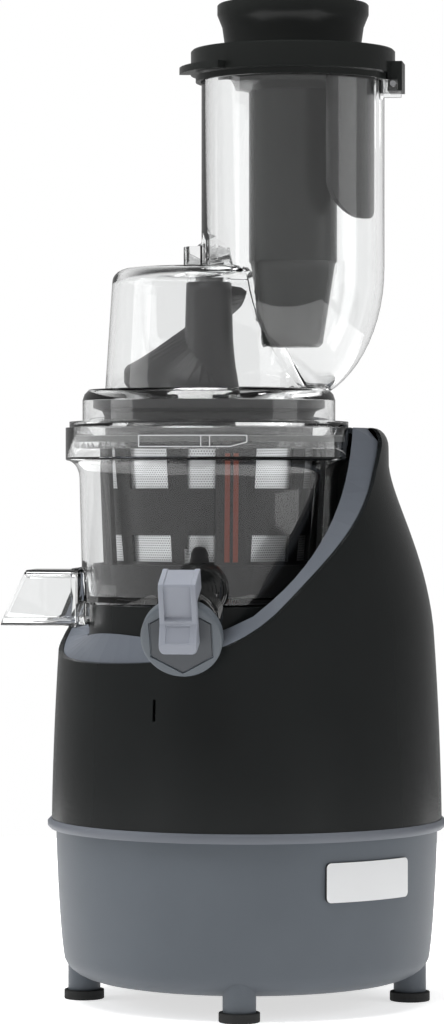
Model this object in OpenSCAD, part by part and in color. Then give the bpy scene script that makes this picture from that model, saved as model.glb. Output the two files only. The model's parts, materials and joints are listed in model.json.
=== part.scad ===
// Cold press juicer with a cut-away cradle, a clear bowl and a clear wide feed tube.
// Millimetres, +Z up, juice spout towards -Y, pulp chute towards -X, feed tube towards +X.

/* [Base] */
// Radius of the base wall just under the band
base_r = 100; // [97:0.5:103]
// Radius of the base wall where its rounded bottom corner ends
base_foot_r = 96; // [93:0.5:98]
// Height of the underside above the table
base_clear = 11.5; // [10:0.5:14]
// Height of the base housing
base_h = 79.5; // [76:0.5:84]
// Height of the rounded bottom corner
base_corner_h = 14; // [10:1:18]
// Reach of the rounded bottom corner
base_corner_w = 23; // [20:1:25]
// Wall of the base housing
base_wall = 3; // [2.5:0.1:4]
// Height of the band
band_h = 5; // [4:0.5:6]
// Radius of the band
band_r = 104.4; // [104:0.2:106]
// Wall of the band
band_wall = 6; // [5:0.5:7]
// Thickness of the bottom plate
plate_t = 3; // [2.5:0.5:4]
// Radius of the bottom plate
plate_r = 68; // [66:1:70]

/* [Feet] */
// Distance of each foot from the body axis
foot_reach = 85.6; // [83:0.5:86]
// Radius of a foot pad
foot_r = 10.5; // [9:0.5:11]
// Height of a foot pad
foot_h = 5; // [4:0.5:7]
// Radius of the post above a foot pad
post_r = 8.5; // [7.5:0.5:9]
// Radius of a screw shank
screw_r = 2; // [1.5:0.1:2.2]

/* [Shell] */
// Radius of the shell just above the band
shell_foot_r = 102.3; // [101:0.1:103]
// Radius of the shell at the foot of the shoulder
shell_mid_r = 97.9; // [96:0.1:99]
// Radius of the shell at the neck
shell_neck_r = 74.6; // [73.5:0.1:76]
// Height of the straight lower stretch
shell_straight_h = 100; // [96:1:104]
// Height of the shoulder
shoulder_h = 84; // [81:1:87]
// Height of the neck
neck_h = 10; // [8:1:12]
// Height of the rounded crown
crown_h = 10; // [8:1:12]
// Reach of the rounded crown
crown_w = 8; // [7:0.5:9]
// Wall of the shell
shell_wall = 2.5; // [2:0.1:3]

/* [Cradle] */
// Distance from the body axis to the bowl axis, along the open side
bowl_shift = 25; // [23:0.5:26]
// Radius of the well that holds the bowl
well_r = 76; // [75.5:0.1:77]
// Wall of the well
well_wall = 2.5; // [2:0.1:3]
// Drop from the crown to the lowest point of the open front
front_drop = 120.5; // [118:0.5:123]
// How far in front of the body axis the cut surface bends upwards
knee_reach = 38.6; // [36:0.2:41]
// Drop from the crown to that bend
knee_drop = 87.1; // [84:0.5:90]
// How far behind the body axis the cut reaches the crown, at the shell
crest_reach = 43; // [41:0.5:45]
// How far behind the body axis the cut reaches the crown, at the well
crest_inner_reach = 24.5; // [22:0.5:27]
// Rise of the front ledge from the shell to the platform
ledge_rise = 15; // [10:0.5:15.5]
// Thickness of the trim on the cut surface
trim_t = 3; // [2.5:0.1:3.5]
// Radius of the platform under the bowl
drum_r = 62.4; // [61:0.1:62.8]
// Drop from the crown to the top of the platform
bowl_sink = 91.6; // [90:0.2:93]
// Height of the platform above the well floor
drum_h = 15.4; // [14:0.2:17]

/* [Motor and gears] */
// Radius of the motor can
can_r = 38; // [36:0.5:40]
// Height of the motor can
can_h = 88; // [84:1:90]
// Radius of the rotor core
rotor_r = 21.5; // [20:0.5:22]
// Radius of the motor shaft
motor_shaft_r = 4; // [3.5:0.1:4.5]
// Height of the rubber bushes under the motor
bush_h = 8; // [6:1:10]
// Tooth module of the first gear pair
module_1 = 1; // [0.9:0.05:1.05]
// Tooth module of the second gear pair
module_2 = 1.6; // [1.5:0.05:1.65]
// Width of the first gear pair
gear_1_w = 8; // [6:1:10]
// Width of the second gear pair
gear_2_w = 12; // [10:1:14]
// Radius of the drive shaft
shaft_r = 8; // [7:0.5:8.5]
// Height of the drive hexagon above the platform
hex_h = 27; // [24:1:29]

/* [Bowl] */
// Outer radius of the bowl near its floor
bowl_r = 65.8; // [65.5:0.1:66.4]
// Outer radius of the bowl under its flare
bowl_top_r = 67.4; // [66.6:0.1:68]
// Outer radius of the ring at the top of the bowl
ring_r = 74.6; // [74:0.1:75]
// Height of the bowl
bowl_h = 91.3; // [90:0.1:93]
// Height of the ring
ring_h = 17; // [16:0.5:19]
// Height of the flare under the ring
flare_h = 9; // [8:0.5:10]
// Wall of the bowl
bowl_wall = 2.6; // [2.3:0.1:2.8]
// Thickness of the bowl floor
bowl_floor_t = 3; // [2.5:0.1:3.5]

/* [Spout and cap] */
// Fall of the spout, in degrees
spout_fall = 23; // [20:1:26]
// Outer radius of the spout
spout_r = 15; // [14:0.5:15.5]
// Wall of the spout
spout_wall = 2.2; // [2:0.1:2.6]
// Distance from the bowl axis to the mouth of the spout
spout_reach = 97; // [95:0.5:100]
// Height of the spout's mouth above the platform
spout_mouth_h = -11.6; // [-12:0.2:-10]
// Radius of the cap
cap_r = 20.5; // [19.5:0.1:21]
// Thickness of the cap
cap_t = 7; // [6:0.5:8]
// Width of the lever
lever_w = 18.7; // [18:0.1:20]
// Radius of the hinge pin
pin_r = 2; // [1.8:0.1:2.2]

/* [Pulp chute] */
// Width of the chute
chute_w = 34; // [32:0.5:36]
// Height of the chute
chute_h = 29; // [28:0.5:30]
// Wall of the chute
chute_wall = 2; // [1.8:0.1:2.4]
// Length of the chute's lower edge from its flange
chute_len = 41; // [38:1:44]
// How far the upper edge stands back from the lower edge
chute_slant = 15; // [12:1:18]
// Depth of the channel under the bowl floor
channel_d = 12; // [11:0.2:12.4]
// Width of the channel under the bowl floor
channel_w = 26; // [24:0.5:27]

/* [Strainer and wiper] */
// Outer radius of the basket at its top
basket_top_r = 56.6; // [56:0.1:57]
// Outer radius of the basket at its bottom
basket_low_r = 51.3; // [50.5:0.1:52]
// Wall of the basket
basket_wall = 2.2; // [2:0.1:2.5]
// Radius of the strainer's upper flange
flange_r = 60.4; // [59:0.1:61]
// Height of the strainer
strainer_h = 93; // [91:0.5:94]
// Number of windows in each row
window_count = 10; // [8:1:12]
// Thickness of the perforated sheet
mesh_t = 0.4; // [0.3:0.05:0.5]
// Width of an arm of the wiper
arm_w = 16; // [13:0.5:17]
// Width of a wiper arm without a blade
slim_arm_w = 10; // [8:0.5:12]
// Number of arms of the wiper
arm_count = 5; // [4:1:6]
// Width of a wiper blade
blade_w = 7; // [5:0.5:8]

/* [Auger] */
// Radius of the auger's shaft at its top
auger_top_r = 11.8; // [11:0.1:12.2]
// Radius of the auger's core at its bottom
auger_low_r = 30; // [27:0.5:32]
// Radius of the flight inside the strainer, at its top
flight_r = 48; // [46:0.2:48.6]
// Rise of the flight in one turn
flight_pitch = 74; // [70:1:78]
// Height of the auger
auger_h = 162; // [160:0.5:163]

/* [Hopper] */
// Outer radius of the hopper's collar
collar_r = 65.8; // [65:0.1:66.4]
// Height of the collar
collar_h = 19.5; // [18:0.5:21]
// Outer radius of the dome at its foot
dome_r = 54; // [53:0.1:55]
// Outer radius of the dome at its top
dome_top_r = 50.3; // [50:0.1:51]
// Height of the dome above the collar
dome_h = 63; // [62:0.5:64]
// Wall of the hopper
hopper_wall = 2.6; // [2.3:0.1:2.9]
// Distance from the bowl axis to the tube axis
tube_shift = 44; // [43.5:0.1:44.5]
// Outer radius of the feed tube
tube_r = 47.5; // [47:0.1:48]
// Wall of the feed tube
tube_wall = 3.5; // [3:0.1:3.8]
// Height of the feed tube above the dome
tube_h = 99; // [90:1:110]
// Depth of the elbow under the dome's top
elbow_h = 70; // [68:0.5:72]

/* [Feed lid and pusher] */
// Outer radius of the feed lid
lid_r = 53; // [52.5:0.1:54]
// Height of the feed lid
lid_h = 13.5; // [12:0.5:16]
// Depth of the lid's lip over the tube
lip_h = 3; // [2:0.5:5]
// Radius of the bore that the pusher slides in
lid_bore_r = 36.2; // [35.8:0.1:36.6]
// Length of the flap that hangs in the tube
flap_h = 72; // [60:1:76]
// Radius of the pusher's rim
pusher_rim_r = 39.3; // [38:0.1:41]
// Height of the pusher's head above the lid
pusher_head_h = 23.5; // [21:0.5:26]
// Radius of the pusher's neck where it enters the lid
pusher_neck_r = 35.5; // [35:0.1:35.7]
// Radius of the pusher's stem
stem_r = 22.9; // [21:0.1:23.4]
// Radius of the pusher's stem at its lower end
stem_tip_r = 15.6; // [14:0.1:16]
// Length of the tapered end of the stem
stem_taper_h = 43; // [40:1:48]
// Height of the stem's end above the bowl floor
stem_tip_h = 128.8; // [128:0.2:132]

/* [Clearances] */
// Gap between pieces that move apart
gap = 0.3; // [0.2:0.05:0.35]
// Gap between a pin and its bore
running = 0.06; // [0.04:0.01:0.08]

/* [Hidden] */
$fn = 96;

black = [0.15, 0.16, 0.155];
grey = [0.44, 0.46, 0.49];
dark = [0.28, 0.28, 0.28];
clear = [0.85, 0.88, 0.9, 0.45];
silicone = [0.85, 0.3, 0.15];
rubber = [0.11, 0.11, 0.11];
steel = [0.75, 0.76, 0.78];
copper = [0.72, 0.42, 0.22];
board_green = [0.1, 0.35, 0.2];

// Heights of the body, from the table up
base_top = base_clear + base_h;
shell_z = base_top + band_h;
mid_z = shell_z + shell_straight_h;
neck_z = mid_z + shoulder_h;
crown_z = neck_z + neck_h;
top_z = crown_z + crown_h;
front_z = top_z - front_drop;
drum_z = top_z - bowl_sink;
well_z = drum_z - drum_h;
floor_z = base_clear + plate_t + base_wall;

// The open side of the body faces between -X and -Y
open_turn = 45;
bowl_x = -bowl_shift * cos(open_turn);
bowl_y = -bowl_shift * sin(open_turn);

// Footprint centre, from the cap and the chute on one side and the band on the other
lever_front = 12.24;
cap_back = 2;
lever_y = cap_back + cap_t;
hinge_y = 3;
hinge_z = cap_r + 4;
lever_side = [
    [hinge_y + 4, hinge_z + 4], [hinge_y + 4, cap_r + gap + 0.4], [-lever_y, cap_r + gap + 0.4],
    [-lever_y, -1], [-lever_y - 4, -2.5], [-lever_y - lever_front + 1, -2.5], [-lever_y - lever_front, -1.5],
    [-lever_y - lever_front, 3.5], [-lever_y - 5.5, 11.5], [-lever_y - 4.5, hinge_z + 5],
    [-lever_y - 3, hinge_z + 7], [-lever_y, hinge_z + 7]
];
ring_low = bowl_h - ring_h;
flare_low = ring_low - flare_h;
channel_z = -channel_d;
chute_mid_z = channel_z + gap + chute_h / 2;
chute_flange_x = bowl_r + (bowl_top_r - bowl_r) * (chute_mid_z + chute_h / 2 + 1.5) / flare_low + 0.04;
chute_tip_x = chute_flange_x + chute_len + 1;
cap_front_y = spout_reach + max([for (p = lever_side) p[1] * sin(spout_fall) - p[0] * cos(spout_fall)]);
centre_x = (band_r + bowl_x - chute_tip_x) / 2;
centre_y = (band_r + bowl_y - cap_front_y) / 2;

// ---- Helpers ----

function bezier(p, t) =
    p[0] * pow(1 - t, 3) + 3 * p[1] * t * pow(1 - t, 2) + 3 * p[2] * t * t * (1 - t) + p[3] * pow(t, 3);
function curve(p, n, first = 0) = [for (i = [first:n]) bezier(p, i / n)];
function mix(a, b, t) = a + (b - a) * t;
function smooth(t) = let (c = min(1, max(0, t))) c * c * (3 - 2 * c);
function reversed(list) = [for (i = [len(list) - 1:-1:0]) list[i]];
function shifted(list, by) = [for (p = list) p + by];
function corner(x, z, w, h, a0, a1, n) =
    [for (i = [0:n]) let (a = mix(a0, a1, i / n)) [x + w * cos(a), z + h * sin(a)]];

module at_body() { translate([-centre_x, -centre_y, 0]) children(); }
module at_bowl() { translate([bowl_x - centre_x, bowl_y - centre_y, drum_z + gap]) children(); }
module along_open_side() { rotate([0, 0, open_turn]) children(); }
module tube(r_out, r_in, z, h) {
    translate([0, 0, z]) difference() {
        cylinder(r = r_out, h = h);
        translate([0, 0, -1]) cylinder(r = r_in, h = h + 2);
    }
}
module rounded_rect(w, h, r) {
    difference() {
        square([w, h], center = true);
        for (x = [-1, 1], y = [-1, 1]) translate([x * (w / 2 - r), y * (h / 2 - r)]) difference() {
            translate([x > 0 ? 0 : -r - 1, y > 0 ? 0 : -r - 1]) square([r + 1, r + 1]);
            circle(r = r);
        }
    }
}

// ---- Body surfaces ----

base_line = concat(
    corner(base_foot_r - base_corner_w, base_clear + base_corner_h, base_corner_w, base_corner_h, -90, 0, 8),
    curve([
        [base_foot_r, base_clear + base_corner_h],
        [base_foot_r + 1.6, base_clear + base_corner_h + 10],
        [base_r - 0.6, base_top - 27],
        [base_r, base_top]
    ], 6, 1)
);
shell_line = concat(
    curve([
        [shell_foot_r, shell_z],
        [shell_foot_r - 0.5, shell_z + 34],
        [shell_mid_r + 2, mid_z - 26],
        [shell_mid_r, mid_z]
    ], 8),
    curve([
        [shell_mid_r, mid_z],
        [shell_mid_r - 4.4, mid_z + shoulder_h * 0.48],
        [shell_neck_r + 1.9, neck_z - shoulder_h * 0.21],
        [shell_neck_r, neck_z]
    ], 16, 1),
    [[shell_neck_r - 0.2, crown_z]],
    [for (i = [1:6]) [
        shell_neck_r - 0.2 - crown_w * (1 - cos(i * 15)),
        crown_z + crown_h * sin(i * 15)
    ]]
);
function shell_r(z) = lookup(z, [for (p = shell_line) [p[1], p[0]]]);

// The cut, seen from the side: distance along the open side's diagonal, and height
cut_low = [
    [-shell_r(front_z), front_z],
    [-74, front_z + 3.5],
    [-knee_reach - 19.4, top_z - knee_drop - 19.9],
    [-knee_reach, top_z - knee_drop]
];
cut_high = [
    [-knee_reach, top_z - knee_drop],
    [-knee_reach + 30.6, top_z - knee_drop + 30.1],
    [crest_reach - 8, top_z - 34],
    [crest_reach, top_z]
];
cut_inner = [
    [-knee_reach - 2.4, top_z - knee_drop],
    [-knee_reach + 26.6, top_z - knee_drop + 23.1],
    [crest_inner_reach - 8.5, top_z - 32],
    [crest_inner_reach, top_z]
];
module above(line, drop = 0) {
    far = 140;
    along_open_side() rotate([90, 0, 0]) linear_extrude(height = 2 * far, center = true) polygon(concat(
        [[-far, line[0][1] - drop]],
        shifted(line, [0, -drop]),
        [[line[len(line) - 1][0], top_z + 40], [-far, top_z + 40]]
    ));
}
module above_shell_cut() { above(concat(curve(cut_low, 8), curve(cut_high, 10, 1))); }
module above_well_cut(drop) { above(concat(curve(cut_low, 8), curve(cut_inner, 10)), drop); }

// ---- Base unit ----

foot_turn = 4.5;
module at_feet() {
    at_body() for (i = [0:3]) rotate([0, 0, foot_turn - 90 + 90 * i]) translate([foot_reach, 0, 0]) children();
}
function base_at(z) = lookup(z, [for (p = base_line) [p[1], p[0]]]);
rear_z = base_clear + base_h * 0.55;
rear_proud = 0.4;
rear_cut = 26;
inlet_turn = 90;
switch_turn = 55;
inlet_w = 28;
inlet_h = 21;
bezel_w = 19;
bezel_h = 26;
module at_rear(turn) {
    at_body() rotate([0, 0, turn]) translate([base_at(rear_z) + rear_proud, 0, rear_z]) rotate([0, 0, 90]) children();
}
screw_ring_r = plate_r - 3;

module base_housing() {
    color(grey) difference() {
        union() {
            at_body() rotate_extrude() polygon(concat(
                [[plate_r + gap, base_clear]],
                base_line,
                [[base_r - base_wall, base_top], [base_foot_r - base_wall, base_clear + base_corner_h]],
                corner(base_foot_r - base_corner_w, base_clear + base_corner_h, base_corner_w - base_wall,
                    base_corner_h - plate_t - base_wall, -15, -90, 5),
                [[plate_r - 6, floor_z], [plate_r - 6, base_clear + plate_t], [plate_r + gap, base_clear + plate_t]]
            ));
            at_feet() translate([0, 0, foot_h]) cylinder(r = post_r, h = floor_z + 3 - foot_h);
        }
        at_feet() cylinder(r = screw_r + running, h = foot_h + 11);
        at_body() for (i = [0:3]) rotate([0, 0, 90 * i]) translate([screw_ring_r, 0, 0])
            cylinder(r = 1.5 + running, h = floor_z + 1);
        at_rear(inlet_turn) cube([inlet_w + 2 * gap, rear_cut, inlet_h + 2 * gap], center = true);
        at_rear(switch_turn) cube([bezel_w + 2 * gap, rear_cut, bezel_h + 2 * gap], center = true);
    }
}

board_t = 1.6;
board_w = 60;
board_x = -50;
module bottom_plate() {
    color(black) at_body() difference() {
        union() {
            translate([0, 0, base_clear]) cylinder(r = plate_r, h = plate_t);
            for (y = [-1, 1]) translate([board_x, y * (board_w / 2 - 6), base_clear + plate_t + 3])
                cube([9, 4, 6], center = true);
        }
        for (i = [-3:3]) translate([-25, i * 9 - 1.5, 0]) cube([50, 3, 40]);
        translate([board_x - board_t / 2 - gap / 2, -board_w / 2, base_clear + plate_t]) cube([board_t + gap, board_w, 40]);
        for (i = [0:3]) rotate([0, 0, 90 * i]) translate([screw_ring_r, 0, 0]) {
            cylinder(r = 1.5 + running, h = 40);
            cylinder(r = 3 + running, h = base_clear + 1.6);
        }
    }
}

module plate_screws() {
    color(steel) at_body() for (i = [0:3]) rotate([0, 0, 90 * i]) translate([screw_ring_r, 0, base_clear + 0.2]) {
        cylinder(r = 3, h = 1.4);
        cylinder(r = 1.5, h = plate_t + base_wall - 0.2);
    }
}

module rubber_feet() {
    color(rubber) at_feet() difference() {
        cylinder(r = foot_r, h = foot_h);
        translate([0, 0, -1]) cylinder(r = screw_r + running, h = foot_h + 2);
        translate([0, 0, -1]) cylinder(r = 2 * screw_r + running, h = foot_h / 2 + 1);
    }
}

module foot_screws() {
    color(steel) at_feet() {
        translate([0, 0, foot_h / 2 - 1.6]) cylinder(r = 2 * screw_r, h = 1.6);
        translate([0, 0, foot_h / 2 - 1.6]) cylinder(r = screw_r, h = foot_h / 2 + 11);
    }
}

module band_ring() {
    color(grey) at_body() rotate_extrude() polygon([
        [band_r - band_wall, base_top], [band_r - 1.4, base_top], [band_r, base_top + 1.4],
        [band_r, shell_z - 1.4], [band_r - 1.4, shell_z], [band_r - band_wall, shell_z]
    ]);
}

plate_turn = -44;
name_w = 54;
name_h = 20;
name_z = base_top - 20.5;
name_t = 1.2;
name_in_r = base_at(name_z + name_h / 2);
module nameplate() {
    color([0.9, 0.9, 0.9]) at_body() rotate([0, 0, plate_turn]) intersection() {
        tube(name_in_r + name_t, name_in_r, name_z - name_h, 2 * name_h);
        translate([0, 0, name_z]) rotate([90, 0, 90]) linear_extrude(height = 2 * base_r)
            rounded_rect(name_w, name_h, 2.5);
    }
}

slit_turn = -110.7;
slit_z = shell_z + 61;
module upper_shell() {
    color(black) at_body() difference() {
        rotate_extrude() polygon(concat(shell_line, reversed(shifted(shell_line, [-shell_wall, 0]))));
        above_shell_cut();
        rotate([0, 0, slit_turn]) translate([shell_mid_r, 0, slit_z]) cube([12, 1.6, 11], center = true);
    }
}

// Stations of the trim, each an inner and an outer point: distance along the diagonal, across, height
trim_in_r = well_r;
trim_out_gap = shell_wall + 0.2;
function on_circle(s, r, c) = let (u = max(-r, min(r, s - c))) [u + c, sqrt(max(0, r * r - u * u))];
function outer_point(q) = let (p = on_circle(q[0], shell_r(q[1]) - trim_out_gap, 0)) [p[0], p[1], q[1]];
function inner_point(q, r) = let (p = on_circle(q[0], r, -bowl_shift)) [p[0], p[1], q[1]];
ledge_low = [
    [-bowl_shift - drum_r - gap - 0.5, front_z + ledge_rise],
    [-75, front_z + ledge_rise - 4.5],
    [-knee_reach - 21.4, top_z - knee_drop - 22.9],
    [-knee_reach - 2.4, top_z - knee_drop]
];
trim_low = [[trim_out_gap - shell_r(front_z), front_z], cut_low[1], cut_low[2], cut_low[3]];
crest_turn = acos(crest_reach / (shell_r(top_z) - trim_out_gap));
crest_inner_turn = acos((crest_inner_reach + bowl_shift) / trim_in_r);
flank = concat(
    [for (i = [0:12]) let (t = pow(i / 12, 1.8)) [
        inner_point(bezier(ledge_low, t), mix(drum_r + gap + 0.5, trim_in_r, smooth((t - 0.6) / 0.4))),
        outer_point(bezier(trim_low, t))
    ]],
    [for (i = [1:14]) let (t = i / 14) [
        inner_point(bezier(cut_inner, t), trim_in_r),
        outer_point(bezier(cut_high, t))
    ]],
    [for (i = [1:6]) let (a = crest_inner_turn * (1 - i / 6), b = crest_turn * (1 - i / 6)) [
        [trim_in_r * cos(a) - bowl_shift, trim_in_r * sin(a), top_z],
        [(shell_r(top_z) - trim_out_gap) * cos(b), (shell_r(top_z) - trim_out_gap) * sin(b), top_z]
    ]]
);
trim_stations = concat(flank, [for (i = [len(flank) - 2:-1:1]) [for (p = flank[i]) [p[0], -p[1], p[2]]]]);
module loft_loop(stations, t) {
    n = len(stations);
    corners = [for (s = stations) each [s[0], s[1], s[1] - [0, 0, t], s[0] - [0, 0, t]]];
    sides = [for (i = [0:n - 1], k = [0:3]) let (
        a = 4 * i + k, b = 4 * i + (k + 1) % 4, c = 4 * ((i + 1) % n) + (k + 1) % 4, d = 4 * ((i + 1) % n) + k
    ) each [[a, b, c], [a, c, d]]];
    polyhedron(points = corners, faces = sides);
}
module cradle_trim() {
    color(grey) at_body() along_open_side() loft_loop(trim_stations, trim_t);
}

well_floor_t = 3;
module bowl_cradle() {
    color(black) at_body() difference() {
        translate([bowl_x, bowl_y, 0]) {
            tube(well_r + well_wall, well_r, well_z - well_floor_t, crown_z - 4 - well_z);
            tube(well_r + well_wall, drum_r + gap, well_z - well_floor_t, well_floor_t);
        }
        above_well_cut(trim_t + 5 * well_wall);
    }
}

neck_r = 22;
module drum_base() {
    color(black) difference() {
        at_bowl() union() {
            tube(drum_r, shaft_r + 6, -gap - 3, 3);
            tube(drum_r, drum_r - 3, front_z - 3 - drum_z - gap, drum_z - front_z + 3);
            tube(neck_r, shaft_r + 6, well_z - 8 - drum_z - gap, drum_z - well_z + 8);
            tube(drum_r, shaft_r + 6, well_z - 8 - drum_z - gap, 3);
            translate([-drum_r + 3, -channel_w / 2 - 3, well_z - 8 - drum_z]) cube([drum_r - neck_r, channel_w + 6, 20]);
        }
        at_bowl() translate([-drum_r - 5, -channel_w / 2 - gap, channel_z - 1.2])
            cube([drum_r + 5 - shaft_r - 5, channel_w + 2 * gap, 40]);
        at_bowl() translate([0, 0, -60]) cylinder(r = shaft_r + 6, h = 100);
    }
}

// ---- Motor, gears and drive ----

plate_top = base_clear + plate_t;
can_z = plate_top + bush_h;
gearbox_z = can_z + can_h;
gearbox_plate_t = 4;
stage_1_z = gearbox_z + gearbox_plate_t + 3;
stage_2_z = stage_1_z + gear_1_w + 3;
chamber_top = stage_2_z + gear_2_w + 4;
cover_wall = 3.5;
tower_top = well_z - 8;

pinion_teeth = 12;
wheel_1_teeth = 60;
wheel_2_teeth = 56;
reach_1 = module_1 * (pinion_teeth + wheel_1_teeth) / 2;
reach_2 = module_2 * (pinion_teeth + wheel_2_teeth) / 2;
motor_turn = 258.6;
lay_x = bowl_x + reach_2 * cos(open_turn);
lay_y = bowl_y + reach_2 * sin(open_turn);
motor_x = lay_x + reach_1 * cos(motor_turn);
motor_y = lay_y + reach_1 * sin(motor_turn);
motor_cap_t = 7;
bearing_r = motor_shaft_r + 7;
lay_pin_r = 4;
lay_hub_r = 7;
module at_motor() { at_body() translate([motor_x, motor_y, 0]) children(); }
module at_lay() { at_body() translate([lay_x, lay_y, 0]) children(); }
module at_drive() { at_body() translate([bowl_x, bowl_y, 0]) children(); }

// Gear outline with its first tooth along +X; slack thins each tooth, in millimetres
pressure = 20;
function inv(a) = tan(a) * 180 / PI - a;
function half_tooth(teeth, m, r, slack) =
    let (rp = m * teeth / 2, rb = rp * cos(pressure), q = max(r, rb))
    90 / teeth + inv(pressure) - inv(acos(rb / q)) - slack / 2 / rp * 180 / PI;
function gear_points(teeth, m, slack, tip, root) = let (
    rp = m * teeth / 2,
    radii = [rp - root, rp - root / 3, rp, rp + tip]
) [for (i = [0:teeth - 1], k = [0:7]) let (
    r = radii[k < 4 ? k : 7 - k],
    a = 360 * i / teeth + (k < 4 ? -1 : 1) * half_tooth(teeth, m, r, slack)
) [r * cos(a), r * sin(a)]];
module gear(teeth, m, slack, w) {
    linear_extrude(height = w) polygon(gear_points(teeth, m, slack, 0.85 * m, 1.2 * m));
}
slack_1 = 0.14;
slack_2 = 0.18;

module motor_can() {
    color(black) at_motor() difference() {
        translate([0, 0, can_z]) cylinder(r = can_r, h = can_h);
        translate([0, 0, can_z + motor_cap_t]) cylinder(r = can_r - 2, h = can_h - 2 * motor_cap_t);
        translate([0, 0, can_z - 1]) cylinder(r = bearing_r + 0.02, h = can_h + 2);
        for (i = [0:7]) rotate([0, 0, 45 * i]) translate([can_r, 0, can_z + 13]) cube([10, 12, 8], center = true);
    }
}

module motor_stator() {
    color(steel) at_motor() difference() {
        translate([0, 0, can_z + 25]) cylinder(r = can_r - 2.02, h = 48);
        translate([0, 0, can_z]) cylinder(r = rotor_r + 0.6, h = can_h);
        for (i = [0:5]) rotate([0, 0, 60 * i]) translate([rotor_r + 7, 0, can_z + 49]) cylinder(r = 4, h = 60, center = true);
    }
}

module motor_windings() {
    color(copper) at_motor() {
        tube(can_r - 3.5, rotor_r + 2, can_z + 19, 6);
        tube(can_r - 3.5, rotor_r + 2, can_z + 73, 6);
        for (i = [0:5]) rotate([0, 0, 60 * i]) translate([rotor_r + 7, 0, can_z + 25]) cylinder(r = 3.6, h = 48);
    }
}

module motor_rotor() {
    color(steel) at_motor() {
        translate([0, 0, can_z + 1]) cylinder(r = motor_shaft_r, h = stage_1_z + gear_1_w - can_z - 1);
        translate([0, 0, can_z + 26]) cylinder(r = rotor_r, h = 46);
    }
}

module cooling_fan() {
    color(black) at_motor() difference() {
        translate([0, 0, can_z + motor_cap_t + 1]) union() {
            cylinder(r = 8, h = 9);
            cylinder(r = can_r - 5, h = 1.5);
            for (i = [0:8]) rotate([0, 0, 40 * i]) translate([7, -0.8, 0]) cube([can_r - 14, 1.6, 9]);
        }
        translate([0, 0, can_z]) cylinder(r = motor_shaft_r + 0.02, h = 30);
    }
}

module motor_pinion() {
    color(steel) at_motor() translate([0, 0, stage_1_z]) difference() {
        rotate([0, 0, motor_turn - 180]) gear(pinion_teeth, module_1, slack_1, gear_1_w);
        translate([0, 0, -1]) cylinder(r = motor_shaft_r + 0.02, h = gear_1_w + 2);
    }
}

module motor_bearings() {
    color(steel) at_motor() for (z = [can_z, can_z + can_h - motor_cap_t])
        tube(bearing_r, motor_shaft_r + running, z + 0.2, motor_cap_t - 0.4);
}

module motor_bushes() {
    color(rubber) at_motor() for (i = [0:3]) rotate([0, 0, 45 + 90 * i]) translate([can_r - 10, 0, 0])
        tube(6, 2.5, plate_top, bush_h);
}

cover_r = module_2 * wheel_2_teeth / 2 + module_2 + 2 + cover_wall;
cover_lay_r = module_1 * wheel_1_teeth / 2 + module_1 + 2 + cover_wall;
module gearbox_plate() {
    color([0.6, 0.61, 0.63]) difference() {
        union() {
            at_drive() translate([0, 0, gearbox_z]) cylinder(r = cover_r, h = gearbox_plate_t);
            at_lay() translate([0, 0, gearbox_z]) cylinder(r = cover_lay_r, h = gearbox_plate_t);
        }
        at_motor() cylinder(r = bearing_r - 1, h = 300);
        at_drive() cylinder(r = shaft_r + running, h = 300);
        at_lay() cylinder(r = lay_pin_r + 0.02, h = 300);
    }
}

module gearbox_cover() {
    low = gearbox_z + gearbox_plate_t;
    color([0.6, 0.61, 0.63]) difference() {
        union() {
            at_drive() translate([0, 0, low]) cylinder(r = cover_r, h = chamber_top + cover_wall - low);
            at_lay() translate([0, 0, low]) cylinder(r = cover_lay_r, h = chamber_top + cover_wall - low);
            at_drive() translate([0, 0, low]) cylinder(r = neck_r, h = tower_top - low);
        }
        at_drive() translate([0, 0, low - 1]) cylinder(r = cover_r - cover_wall, h = chamber_top - low + 1);
        at_lay() translate([0, 0, low - 1]) cylinder(r = cover_lay_r - cover_wall, h = chamber_top - low + 1);
        at_drive() cylinder(r = shaft_r + 6, h = 300);
        at_lay() cylinder(r = lay_pin_r + 0.02, h = 300);
    }
}

module lay_gear() {
    color([0.85, 0.83, 0.75]) at_lay() difference() {
        union() {
            translate([0, 0, stage_1_z]) rotate([0, 0, motor_turn + 180 / wheel_1_teeth])
                gear(wheel_1_teeth, module_1, slack_1, gear_1_w);
            translate([0, 0, stage_1_z]) cylinder(r = lay_hub_r, h = stage_2_z - stage_1_z);
            translate([0, 0, stage_2_z]) rotate([0, 0, open_turn - 180])
                gear(pinion_teeth, module_2, slack_2, gear_2_w);
        }
        translate([0, 0, stage_1_z - 1]) cylinder(r = lay_pin_r + running, h = 60);
    }
}

module lay_pin() {
    color(steel) at_lay() translate([0, 0, gearbox_z + 0.2]) cylinder(r = lay_pin_r, h = chamber_top + cover_wall - gearbox_z - 0.4);
}

module output_gear() {
    color([0.85, 0.83, 0.75]) at_drive() translate([0, 0, stage_2_z]) difference() {
        rotate([0, 0, open_turn + 180 / wheel_2_teeth]) gear(wheel_2_teeth, module_2, slack_2, gear_2_w);
        translate([0, 0, -1]) cylinder(r = shaft_r + 0.02, h = gear_2_w + 2);
        for (i = [0:5]) rotate([0, 0, 60 * i]) translate([24, 0, -1]) cylinder(r = 8, h = gear_2_w + 2);
    }
}

module drive_shaft() {
    color(steel) at_drive() {
        translate([0, 0, gearbox_z + gap]) cylinder(r = shaft_r, h = drum_z - gearbox_z - gap);
        translate([0, 0, drum_z - 1]) cylinder(r = shaft_r, h = hex_h + 1, $fn = 6);
    }
}

module shaft_bearings() {
    color(steel) at_drive() for (z = [chamber_top + 0.5, tower_top - 12.5])
        tube(shaft_r + 6, shaft_r + running, z, 12);
}

module shaft_seal() {
    color(rubber) at_drive() tube(shaft_r + 6, shaft_r + running, drum_z - 7, 6);
}

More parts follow.
